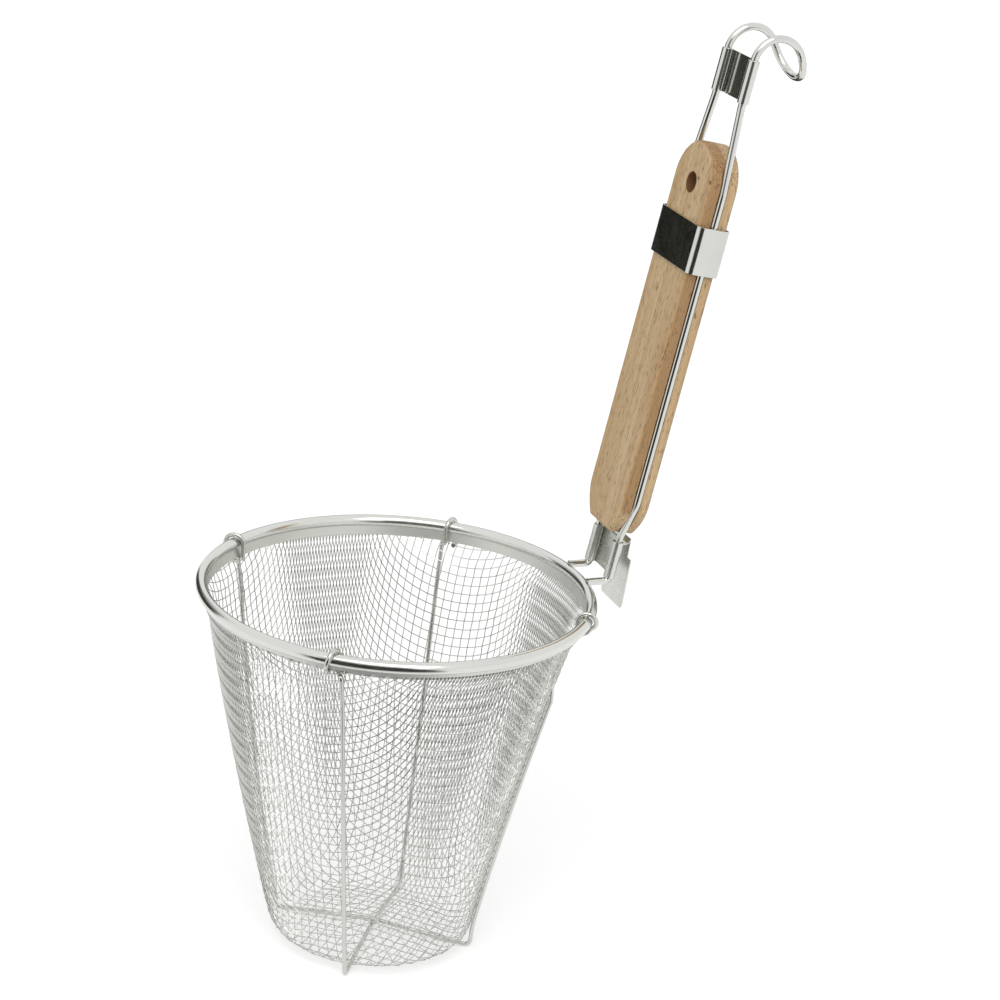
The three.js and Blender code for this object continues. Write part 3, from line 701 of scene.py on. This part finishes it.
class DrapedNet:
    """A square weave, draped over the first draw knot by knot, one pitch apart, and then set in the cup."""

    def __init__(self):
        self.net = settings().net
        self.drawn = Cup(self.net.draw_radius)
        self.cup = Cup(self.net.corner_radius)

    def next_knot(self, first, second, behind):
        """The fourth knot of an opening, by Newton's method."""
        run = first[0] + second[0] - behind[0]
        bearing = (first[1] + second[1]) / 2
        near, far = self.drawn.place(*first)[0], self.drawn.place(*second)[0]
        pitch = self.net.pitch
        run_nudge, bearing_nudge, close = 1e-7, 1e-5, 1e-9
        longest_turn, most_tries = 0.3, 40

        def misses(at_run, at_bearing):
            point = self.drawn.place(at_run, at_bearing)[0]
            return (point - near).length - pitch, (point - far).length - pitch

        for _ in range(most_tries):
            miss_a, miss_b = misses(run, bearing)
            if abs(miss_a) + abs(miss_b) < close:
                break
            run_a, run_b = misses(run + run_nudge, bearing)
            turn_a, turn_b = misses(run, bearing + bearing_nudge)
            a, b = (run_a - miss_a) / run_nudge, (turn_a - miss_a) / bearing_nudge
            c, d = (run_b - miss_b) / run_nudge, (turn_b - miss_b) / bearing_nudge
            determinant = a * d - b * c
            run_step = (d * miss_a - b * miss_b) / determinant
            bearing_step = (a * miss_b - c * miss_a) / determinant
            run -= max(-pitch / 2, min(pitch / 2, run_step))
            bearing -= max(-longest_turn, min(longest_turn, bearing_step))
        return run, bearing

    def set_run(self, run):
        """Distance from the pole in the cup of a point of the first draw."""
        first = self.drawn.wall_start
        last = self.cup.wall_start + self.drawn.reach - self.cup.reach
        return run * last / first if run < first else run - first + last

    def knots(self, wall_run):
        """All knots by their two counts: one quarter between two straight wires, turned four times."""
        pitch = self.net.pitch
        last_run = self.drawn.wall_start + wall_run
        reach = math.ceil(last_run / pitch)
        quarter = {}
        for i in range(reach + 1):
            for j in range(reach + 1):
                if i == 0:
                    quarter[i, j] = (j * pitch, math.pi / 2)
                elif j == 0:
                    quarter[i, j] = (i * pitch, 0)
                else:
                    first, second = quarter.get((i, j - 1)), quarter.get((i - 1, j))
                    if first and second and min(first[0], second[0]) < last_run:
                        quarter[i, j] = self.next_knot(first, second, quarter[i - 1, j - 1])
        knots = {}
        for (i, j), (run, bearing) in quarter.items():
            for turns, key in enumerate([(i, j), (-j, i), (-i, -j), (j, -i)]):
                turned = bearing + self.net.bearing + turns * math.pi / 2
                point, normal = self.cup.place(self.set_run(run), turned)
                knots[key] = (settled(point), normal)
        return knots


def weave_line(knots, keys, trim_height, lift):
    """Points of one wire, over and under the other wires by turns, cut off at the rim's slot."""
    points = []
    for key in keys:
        knot = knots.get(key)
        if knot is None:
            continue
        side = 1 if sum(key) % 2 else -1
        points.append(knot[0] + knot[1] * (side * lift))
    inside = [index for index, point in enumerate(points) if point.z < trim_height]
    if len(inside) < 2:
        return []
    first, last = inside[0], inside[-1]
    line = points[first:last + 1]
    for end, beyond in ((first, first - 1), (last, last + 1)):
        share = (trim_height - points[end].z) / (points[beyond].z - points[end].z)
        line.insert(0 if end == first else len(line), points[end].lerp(points[beyond], share))
    return line


class STRAINER_OT_net(bpy.types.Operator):
    """Drapes the square weave over the cup and runs round wires along it, over and under each other"""
    bl_idname = "strainer.net"
    bl_label = "Net"

    def execute(self, context):
        net, rim = settings().net, settings().rim
        _, trim_height = rim_section(0, -(rim.bead_diameter / 2 - rim.strip))
        wall_run = (trim_height - net_floor()) / math.cos(wall_slope())
        knots = DrapedNet().knots(wall_run)
        reach = max(key[0] for key in knots)
        counts = range(-reach, reach + 1)
        lift = net.wire / 2
        material = woven_steel()
        warp = [weave_line(knots, [(line, step) for step in counts], trim_height, lift) for line in counts]
        weft = [weave_line(knots, [(step, line) for step in counts], trim_height, -lift) for line in counts]
        for name, lines in (("mesh_basket_warp", warp), ("mesh_basket_weft", weft)):
            points = [point for line in lines for point in line]
            edges = []
            start = 0
            for line in lines:
                edges += [(start + index, start + index + 1) for index in range(len(line) - 1)]
                start += len(line)
            piece = new_plane(name, millimetres(1))
            piece.data.clear_geometry()
            piece.data.from_pydata(points, edges, [])
            bpy.ops.object.mode_set(mode="EDIT")
            round_wire(piece, net.wire, resolution=1)
            finish_piece(piece, "strainer", "mesh_basket", material)
        return {"FINISHED"}


# Cradle wires

def cradle_end(rim_bearing, foot_bearing, crossing, shift, crossover):
    """Points from the crossing under the bottom, up the wall, through the net and over the bead."""
    cradle, rim = settings().cradle, settings().rim
    radius = cradle.diameter / 2
    slope = wall_slope()
    lean = ring_radius() * (1 - math.cos((rim_bearing - foot_bearing) / 2))
    beside = cradle.net_thickness / 2 + radius
    out = beside + cradle.seat + lean
    wrap = rim.bead_diameter / 2 + cradle.seat + radius
    inside_rise = -rim.inner_leaf - cradle.seat - radius
    foot_rise = (radius + net_floor() - rim_centre.z + out * math.sin(slope)) / math.cos(slope)
    lead = math.copysign(cradle.wrap_lead, shift)

    def on_wall(rise, side):
        share = 1 - rise / foot_rise
        bearing = foot_bearing + (rim_bearing - foot_bearing) * share
        place = rim_place(bearing, side, rise)
        radial = heading(bearing)
        return place + radial * (settled(place) - place).dot(radial)

    outer_step = (-crossover - foot_rise) / cradle.run_points
    outer = [on_wall(rise, beside) for rise in even_steps(foot_rise, -crossover, cradle.run_points)[1:]]
    inner_steps = max(round((inside_rise + crossover) / outer_step), 1)
    inner = [on_wall(rise, -beside) for rise in even_steps(-crossover, inside_rise, inner_steps)[1:-1]]
    points = bent_route([
        (crossing, 0),
        (rim_place(foot_bearing, out, foot_rise), cradle.foot_bend),
        *[(place, cradle.run_bend) for place in outer[:-1]],
        *[(place, cradle.wrap_bend) for place in [outer[-1], *inner]],
        (rim_place(rim_bearing, -rim.slot - rim.strip - radius, inside_rise, lead), cradle.wrap_bend),
        (rim_place(rim_bearing, -wrap, 0, lead), 0),
    ], cradle_step)
    steps = math.ceil(cradle.wrap_turn / cradle_step)
    turns = even_steps(math.pi, math.pi - cradle.wrap_turn, steps)
    for turn, along in zip(turns[1:], even_steps(lead, shift, steps)[1:]):
        points.append(rim_place(rim_bearing, wrap * math.cos(turn), wrap * math.sin(turn), along))
    # The tail is tucked in under the skirt: millimetres out from the wall and up along it
    tail = [(1.9, -3.6), (1.6, -4.9), (0.6, -6.0), (-1.0, -6.9), (-2.4, -7.2)]
    points += [rim_place(rim_bearing, millimetres(o), millimetres(r), shift) for o, r in tail]
    return points


class STRAINER_OT_cradle(bpy.types.Operator):
    """Bends the two wires that cross under the bottom and wrap round the rim"""
    bl_idname = "strainer.cradle"
    bl_label = "Cradle wires"

    def execute(self, context):
        cradle = settings().cradle
        low = net_floor() + cradle.diameter / 2 + cradle.crossing_rise
        high = low + cradle.diameter + cradle.seat
        wires = [
            ("cradle_wire_low", low, -cradle.wrap_shift, cradle.crossover_drop,
             (cradle.front_rim, cradle.front_foot), (cradle.back_rim, cradle.back_foot)),
            ("cradle_wire_high", high, cradle.wrap_shift, cradle.right_crossover,
             (cradle.right_rim, cradle.right_foot), (cradle.left_rim, cradle.left_foot)),
        ]
        material = drawn_steel()
        for node, height, shift, crossover, first, second in wires:
            crossing = Vector((rim_centre.x, rim_centre.y, height))
            start = cradle_end(*first, crossing, shift, crossover)
            end = cradle_end(*second, crossing, shift, cradle.crossover_drop)
            route = [*reversed(start), *end[1:]]
            piece = wire_along(f"{node}_bent", route, cradle.diameter, resolution=4)
            finish_piece(piece, "strainer", node, material)
        return {"FINISHED"}


# Handle wire

def handle_place(n, y, t):
    """A point in the handle's own frame: n out of the back of the grip, y across it, t along it."""
    rim, handle = settings().rim, settings().handle
    elbow = rim_centre + Vector((rim.outer_diameter / 2 + handle.elbow_reach, 0, 0))
    out = Vector((math.cos(handle.tilt), 0, -math.sin(handle.tilt)))
    along = Vector((math.sin(handle.tilt), 0, math.cos(handle.tilt)))
    return elbow + out * n + across * y + along * t


def along_handle(distance):
    """A step along the handle."""
    return handle_place(0, 0, distance) - handle_place(0, 0, 0)


def handle_route():
    """Points along the hairpin: from the rim up one leg, over the hook's tip and down the other leg."""
    handle, grip, fittings = settings().handle, settings().grip, settings().fittings
    tilt = handle.tilt
    weld_end = -handle.elbow_reach - handle.elbow_rise * math.sin(tilt) - handle.weld_depth
    spread_start = fittings.bracket_start + fittings.bracket_length + handle.spread_lead
    gather_start = grip.start + grip.height - grip.width / 2
    hook_start = fittings.clip_start + fittings.clip_length
    sleeve_y = handle.sleeve_spacing / 2
    grip_y = grip.width / 2 - grip.wire_sink
    clip_y = handle.clip_spacing / 2
    corners = [
        ((weld_end * math.cos(tilt), sleeve_y, handle.elbow_rise + weld_end * math.sin(tilt)), 0),
        ((0, sleeve_y, handle.elbow_rise), handle.elbow_radius),
        ((0, sleeve_y, spread_start), handle.spread_radius),
        ((0, grip_y, grip.start + grip.taper), handle.spread_radius),
        ((0, grip_y, gather_start), handle.spread_radius),
        ((0, clip_y, fittings.clip_start - handle.spread_lead), handle.spread_radius),
        ((0, clip_y, hook_start), 0),
    ]
    side = bent_route([(Vector(corner), radius) for corner, radius in corners], handle_step)
    bow = math.pi - handle.hook_flare
    out = Vector((1, 0, 0))
    bow_centre = Vector((handle.hook_radius, clip_y, hook_start))
    side += arc_points(bow_centre, -out, up, handle.hook_radius, 0, bow, handle_step)[1:]
    down = Vector((math.sin(bow), 0, math.cos(bow)))
    tip_centre = Vector((side[-1].x, 0, side[-1].z))
    tip = arc_points(tip_centre, across, down, clip_y, 0, math.pi, handle_step)[1:-1]
    other = [Vector((point.x, -point.y, point.z)) for point in reversed(side)]
    return [handle_place(*point) for point in [*side, *tip, *other]]


class STRAINER_OT_handle_wire(bpy.types.Operator):
    """Bends the hairpin of round wire that carries the grip and ends in the hanging hook"""
    bl_idname = "strainer.handle_wire"
    bl_label = "Handle wire"

    def execute(self, context):
        piece = wire_along("handle_wire_bent", handle_route(), settings().handle.wire, resolution=6)
        finish_piece(piece, "strainer", "handle_wire", polished_steel())
        return {"FINISHED"}


# Grip

class STRAINER_OT_grip(bpy.types.Operator):
    """Cuts the beech slat, rounds its edges, and cuts the hole and the grooves for the wire"""
    bl_idname = "strainer.grip"
    bl_label = "Grip"

    def execute(self, context):
        grip, handle = settings().grip, settings().handle
        half = grip.width / 2
        foot = grip.foot_width / 2
        round_t = grip.start + grip.height - half
        flank = []
        for share in even_steps(0, 1, grip.flank_steps):
            bulge = 2 * share * (1 - share) * (half - grip.wire_sink)
            y = (1 - share) ** 2 * foot + bulge + share ** 2 * half
            flank.append((y, grip.start + grip.taper * share))
        turns = even_steps(0, math.pi, grip.dome_steps)
        dome = [(half * math.cos(turn), round_t + half * math.sin(turn)) for turn in turns]
        face = [*flank, *dome, *[(-y, t) for y, t in reversed(flank)]]
        front = -grip.thickness / 2
        piece = outline("wood_grip_slat", [handle_place(front, y, t) for y, t in face])
        bpy.ops.mesh.edge_face_add()
        through = handle_place(1, 0, 0) - handle_place(0, 0, 0)
        extrude_by(through * grip.thickness)
        tidy_mesh(slat_smooth)
        ease_edges(piece, grip.edge_radius, segments=5, use_clamp_overlap=False)
        hole_place = handle_place(0, 0, round_t)
        turn = up.rotation_difference(through).to_euler()
        bpy.ops.mesh.primitive_cylinder_add(
            vertices=grip.dome_steps, radius=grip.hole / 2, depth=2 * grip.thickness, location=hole_place,
            rotation=turn)
        drill = bpy.context.object
        groove_width = handle.wire + 2 * grip.groove_gap
        groove = wire_along("groove_cutter", handle_route(), groove_width, resolution=5)
        for cutter in (drill, groove):
            bpy.ops.object.select_all(action="DESELECT")
            piece.select_set(True)
            context.view_layer.objects.active = piece
            apply_modifier(piece, "BOOLEAN", object=cutter, operation="DIFFERENCE", solver="EXACT")
            bpy.data.objects.remove(cutter)
        bpy.ops.object.shade_smooth_by_angle(angle=cut_smooth)
        finish_piece(piece, "strainer", "wood_grip", beech())
        return {"FINISHED"}


# Sheet-metal fittings

def thicken(piece, thickness, edge):
    """Gives a bent sheet its thickness, eases its edges, and keeps the reflections in its flats flat."""
    apply_modifier(piece, "SOLIDIFY", thickness=thickness, offset=0)
    ease_edges(piece, edge, segments=2)
    bpy.ops.object.shade_smooth_by_angle(angle=sheet_smooth)
    apply_modifier(piece, "WEIGHTED_NORMAL", weight=100, keep_sharp=True)


class STRAINER_OT_band(bpy.types.Operator):
    """Bends the polished strip round the grip and both legs of the wire"""
    bl_idname = "strainer.band"
    bl_label = "Band"

    def execute(self, context):
        grip, fittings, handle = settings().grip, settings().fittings, settings().handle
        middle = fittings.sheet / 2
        half_n = grip.thickness / 2 + fittings.band_gap + middle
        half_y = grip.width / 2 - grip.wire_sink + handle.wire / 2 + fittings.band_gap + middle
        radius = fittings.band_corner + middle
        loop = []
        for quarter, (sign_n, sign_y) in enumerate([(1, 1), (-1, 1), (-1, -1), (1, -1)]):
            centre_n, centre_y = sign_n * (half_n - radius), sign_y * (half_y - radius)
            for share in even_steps(0, 1, fittings.corner_steps):
                turn = (quarter + share) * math.pi / 2
                loop.append((centre_n + radius * math.cos(turn), centre_y + radius * math.sin(turn)))
        start = fittings.band_start
        piece = outline("grip_band_strip", [handle_place(n, y, start) for n, y in [*loop, loop[0]]])
        bpy.ops.mesh.remove_doubles(threshold=merge_distance)
        extrude_by(along_handle(fittings.band_length))
        tidy_mesh(sheet_smooth)
        thicken(piece, fittings.sheet, fittings.sheet_edge)
        finish_piece(piece, "band", "grip_band", polished_strip())
        return {"FINISHED"}


def web_offset():
    """Distance from the middle of the wire to the middle of the sheet that is rolled round it."""
    return settings().handle.wire / 2 + settings().cradle.seat + settings().fittings.sleeve_wall / 2


def rolled_pair(spacing, neck):
    """Section of a sheet rolled round both legs with a web between, with points at the neck's sides."""
    fittings = settings().fittings
    radius = web_offset()
    half = spacing / 2
    turns = even_steps(2 * math.pi, fittings.sleeve_seam, fittings.sleeve_steps)
    roll = [(radius * math.cos(turn), half + radius * math.sin(turn)) for turn in turns]
    side = [*roll, (radius, half - fittings.web_lead), (radius, neck / 2)]
    return [*side, *[(n, -y) for n, y in reversed(side)]]


class STRAINER_OT_clip(bpy.types.Operator):
    """Rolls the upper clip round both legs of the wire, with a web between"""
    bl_idname = "strainer.clip"
    bl_label = "Upper clip"

    def execute(self, context):
        fittings, handle = settings().fittings, settings().handle
        section = rolled_pair(handle.clip_spacing, fittings.neck_width)
        piece = outline("upper_clip_rolled", [handle_place(n, y, fittings.clip_start) for n, y in section])
        extrude_by(along_handle(fittings.clip_length))
        tidy_mesh(sheet_smooth)
        thicken(piece, fittings.sleeve_wall, fittings.sleeve_edge)
        finish_piece(piece, "strainer", "upper_clip", polished_steel())
        return {"FINISHED"}


def select_near(piece, test):
    """Selects the edges of which both ends pass a test of their place."""
    bpy.ops.object.mode_set(mode="OBJECT")
    mesh = piece.data
    passing = [test(vertex.co) for vertex in mesh.vertices]
    for polygon in mesh.polygons:
        polygon.select = False
    for index, vertex in enumerate(mesh.vertices):
        vertex.select = passing[index]
    for edge in mesh.edges:
        edge.select = all(passing[end] for end in edge.vertices)
    bpy.ops.object.mode_set(mode="EDIT")


class STRAINER_OT_pot_hook(bpy.types.Operator):
    """Rolls the bracket round both legs, folds its web over and hangs it down outside as a tab"""
    bl_idname = "strainer.pot_hook"
    bl_label = "Pot hook"

    def execute(self, context):
        fittings, handle = settings().fittings, settings().handle
        start = fittings.bracket_start
        top = start + fittings.bracket_length
        section = rolled_pair(handle.sleeve_spacing, fittings.neck_width)
        piece = outline("pot_hook_folded", [handle_place(n, y, start) for n, y in section])
        extrude_by(along_handle(fittings.bracket_length))
        web = web_offset()
        half = fittings.neck_width / 2
        near = millimetres(0.05)
        web_top = handle_place(web, 0, top)
        select_near(
            piece, lambda co: abs(co.y) < half + near and (Vector((co.x, 0, co.z)) - web_top).length < near)
        extrude_by(along_handle(fittings.fold_lead))
        fold_centre = handle_place(web + fittings.fold_radius, 0, top + fittings.fold_lead)
        turn = math.pi - handle.tilt + fittings.tab_tilt
        bpy.ops.mesh.spin(steps=fittings.fold_steps, angle=turn, center=fold_centre, axis=across)
        outside = Vector((math.cos(fittings.tab_tilt), 0, -math.sin(fittings.tab_tilt)))
        hanging = Vector((-math.sin(fittings.tab_tilt), 0, -math.cos(fittings.tab_tilt)))
        extrude_by(hanging * fittings.neck_length)
        extrude_by(hanging * fittings.tab_length)
        tab_top = fold_centre + outside * fittings.fold_radius + hanging * fittings.neck_length
        widen = (fittings.tab_width - fittings.neck_width) / 2

        def on_tab(co, first):
            return abs((co - tab_top).dot(outside)) < near and (co - tab_top).dot(hanging) > first - near

        for sign in (1, -1):
            select_near(piece, lambda co: on_tab(co, 0) and co.y * sign > half - near)
            extrude_by(across * (sign * widen))
        select_near(piece, lambda co: on_tab(co, fittings.tab_length) and abs(co.y) > half + near)
        bpy.ops.mesh.bevel(offset=fittings.tab_corner, segments=fittings.tab_steps, affect="VERTICES")
        tidy_mesh(sheet_smooth)
        thicken(piece, fittings.sleeve_wall, fittings.sleeve_edge)
        finish_piece(piece, "strainer", "pot_hook", satin_steel())
        return {"FINISHED"}


# Stage

class STRAINER_OT_stage(bpy.types.Operator):
    """Lays the pale floor, hangs the black cards, sets the soft light and places the camera"""
    bl_idname = "strainer.stage"
    bl_label = "Stage"

    def execute(self, context):
        stage = settings().stage
        scene = context.scene
        scene.view_settings.view_transform = "Standard"
        self.lay_floor(stage)
        self.hang_cards()
        self.set_light(scene, stage)
        self.place_camera(scene, stage)
        return {"FINISHED"}

    def in_view(self, add):
        """One for rays from the camera, from a mirror or through glass, and zero for the others."""
        path = add("LightPath").outputs
        seen = path["Is Camera Ray"]
        for ray in ("Is Glossy Ray", "Is Transmission Ray"):
            seen = add("Math", operation="ADD", use_clamp=True, _0=seen, _1=path[ray])
        return seen

    def lay_floor(self, stage):
        """White paper that looks as bright as the room, and still takes the shadow."""
        floor = new_plane("floor", stage.floor_size)
        material, add = bare_material("white_paper_floor")
        lift = add("Math", operation="MULTIPLY", _0=self.in_view(add), _1=stage.floor_glow)
        finish = settings().finish
        paper = add("BsdfDiffuse", Color=shade_of(finish.paper))
        glow = add("Emission", Color=shade_of(finish.light), Strength=lift)
        both = add("AddShader", _0=paper, _1=glow)
        add("OutputMaterial", Surface=both)
        floor.data.materials.append(material)

    def card_material(self, name, foot_fade, top_fade):
        """Worn black card that only mirrors show, whose edges fade so that no reflection ends hard."""
        material, add = bare_material(name)
        place = add("TexCoord").outputs["UV"]
        sides = add("SeparateXYZ", Vector=place).outputs
        from_middle = add("Math", operation="SUBTRACT", _0=sides["X"], _1=0.5)
        away = add("Math", operation="ABSOLUTE", _0=from_middle)
        within_sides = add("MapRange", Value=away, From_Min=0.5, From_Max=0.38)
        below_top = add("MapRange", Value=sides["Y"], From_Min=1.0, From_Max=top_fade)
        above_foot = add("MapRange", Value=sides["Y"], From_Max=foot_fade)
        within_ends = add("Math", operation="MULTIPLY", _0=above_foot, _1=below_top)
        cover = add("Math", operation="MULTIPLY", _0=within_sides, _1=within_ends)
        # Rubbed patches a tenth of the card wide and a fifth of it high
        streaks = add("Mapping", Vector=place, Scale=(10, 5, 1))
        worn = add("TexNoise", Vector=streaks, Scale=1.0, Detail=1.0)
        rubbed = add("MapRange", Value=worn, From_Min=0.35, From_Max=0.7)
        black, worn_black = shade_of(settings().finish.card_black), shade_of(settings().finish.card_worn)
        tone = add("Mix", data_type="RGBA", Factor=rubbed, _6=black, _7=worn_black)
        card = add("BsdfDiffuse", Color=tone)
        both = add("MixShader", _0=cover, _1=add("BsdfTransparent"), _2=card)
        add("OutputMaterial", Surface=both)
        return material

    def hang_cards(self):
        """Four black cards round the strainer, which give its metal dark bands."""
        # Name and bearing, distance, width and height of the foot and of the top, and where the fades end
        cards = [
            ("card_front", 236, (0.13, 0.16, 0), (1.9, 2.97, 0.36), (0.06, 0.5)),
            ("card_camera", 236, (1.0, 1.0, 0.12), (1.0, 1.0, 2.2), (0.04, 0.04)),
            ("card_left", 118, (0.95, 0.9, 0), (1.0, 0.9, 0.9), (0.1, 0.5)),
            ("card_far", 62, (0.2, 0.3, 0), (1.3, 1.3, 0.5), (0.1, 0.5)),
        ]
        for name, bearing, (near, foot_width, low), (far, width, high), fades in cards:
            turn = math.radians(bearing)
            height = high - low
            middle = heading(turn) * ((near + far) / 2) + up * (low + height / 2)
            lean = math.atan2(far - near, height)
            card = new_plane(name, 1, location=middle, rotation=(math.pi / 2 + lean, 0, turn + math.pi / 2))
            card.scale = (width, math.hypot(far - near, height), 1)
            bpy.ops.object.transform_apply(location=True, rotation=True, scale=True)
            foot = heading(turn) * near + up * low
            select_near(card, lambda co: co.z < low + height / 2)
            bpy.ops.transform.resize(value=[foot_width / width] * 3, center_override=foot)
            bpy.ops.mesh.select_all(action="SELECT")
            bpy.ops.mesh.subdivide(number_cuts=8)
            bpy.ops.object.mode_set(mode="OBJECT")
            card.visible_camera = False
            card.visible_diffuse = False
            card.visible_shadow = False
            card.data.materials.append(self.card_material(f"black_{name}", *fades))

    def set_light(self, scene, stage):
        """A broad key light in a white room."""
        bpy.ops.object.light_add(type="SUN", rotation=(stage.sun_tilt, stage.sun_roll, 0))
        sun = bpy.context.object
        sun.name = "key_light"
        sun.data.energy = stage.sun
        sun.data.angle = stage.sun_breadth
        world = bpy.data.worlds.new("white_room")
        scene.world = world
        world.use_nodes = True
        world.node_tree.nodes.clear()
        add = partial(add_node, world.node_tree)
        strength = add("MapRange", Value=self.in_view(add), To_Min=stage.fill, To_Max=1.0)
        sky = add("Background", Color=shade_of(settings().finish.light), Strength=strength)
        add("OutputWorld", Surface=sky)

    def place_camera(self, scene, stage):
        """The camera, as it stood for the photograph."""
        ahead = heading(stage.yaw + math.pi / 2)
        sight = ahead * math.cos(stage.pitch) - up * math.sin(stage.pitch)
        right = heading(stage.yaw)
        top = right.cross(sight)
        c, s = math.cos(stage.roll), math.sin(stage.roll)
        turned_right, turned_top = right * c + top * s, top * c - right * s
        axes = Matrix((turned_right, turned_top, -sight)).transposed()
        bpy.ops.object.camera_add()
        camera = bpy.context.object
        camera.name = "photo_camera"
        camera.matrix_world = Matrix.Translation(rim_centre + Vector(stage.camera_place)) @ axes.to_4x4()
        camera.data.lens = stage.lens
        camera.data.sensor_width = stage.sensor
        camera.data.clip_end = stage.view_end
        scene.camera = camera


class STRAINER_PT_panel(bpy.types.Panel):
    """Lists the strainer's pieces"""
    bl_label = "Strainer"
    bl_idname = "STRAINER_PT_panel"
    bl_space_type = "VIEW_3D"
    bl_region_type = "UI"
    bl_category = "Strainer"

    def draw(self, context):
        for operator in piece_operators:
            self.layout.operator(operator.bl_idname)


piece_operators = (
    STRAINER_OT_rim,
    STRAINER_OT_net,
    STRAINER_OT_cradle,
    STRAINER_OT_handle_wire,
    STRAINER_OT_grip,
    STRAINER_OT_band,
    STRAINER_OT_clip,
    STRAINER_OT_pot_hook,
    STRAINER_OT_stage,
)
classes = (
    RimSizes, NetSizes, CradleSizes, HandleSizes, GripSizes, FittingSizes, FinishColours, StageSizes,
    StrainerSettings, *piece_operators, STRAINER_PT_panel,
)


def register():
    """Makes the add-on's classes and settings known."""
    for kind in classes:
        bpy.utils.register_class(kind)
    bpy.types.Scene.strainer = PointerProperty(type=StrainerSettings)


def unregister():
    """Takes the add-on's classes and settings away."""
    del bpy.types.Scene.strainer
    for kind in reversed(classes):
        bpy.utils.unregister_class(kind)


def main():
    """Builds every piece and the stage."""
    register()
    bpy.ops.strainer.rim()
    bpy.ops.strainer.net()
    bpy.ops.strainer.cradle()
    bpy.ops.strainer.handle_wire()
    bpy.ops.strainer.grip()
    bpy.ops.strainer.band()
    bpy.ops.strainer.clip()
    bpy.ops.strainer.pot_hook()
    bpy.ops.strainer.stage()


if __name__ == "__main__":
    main()
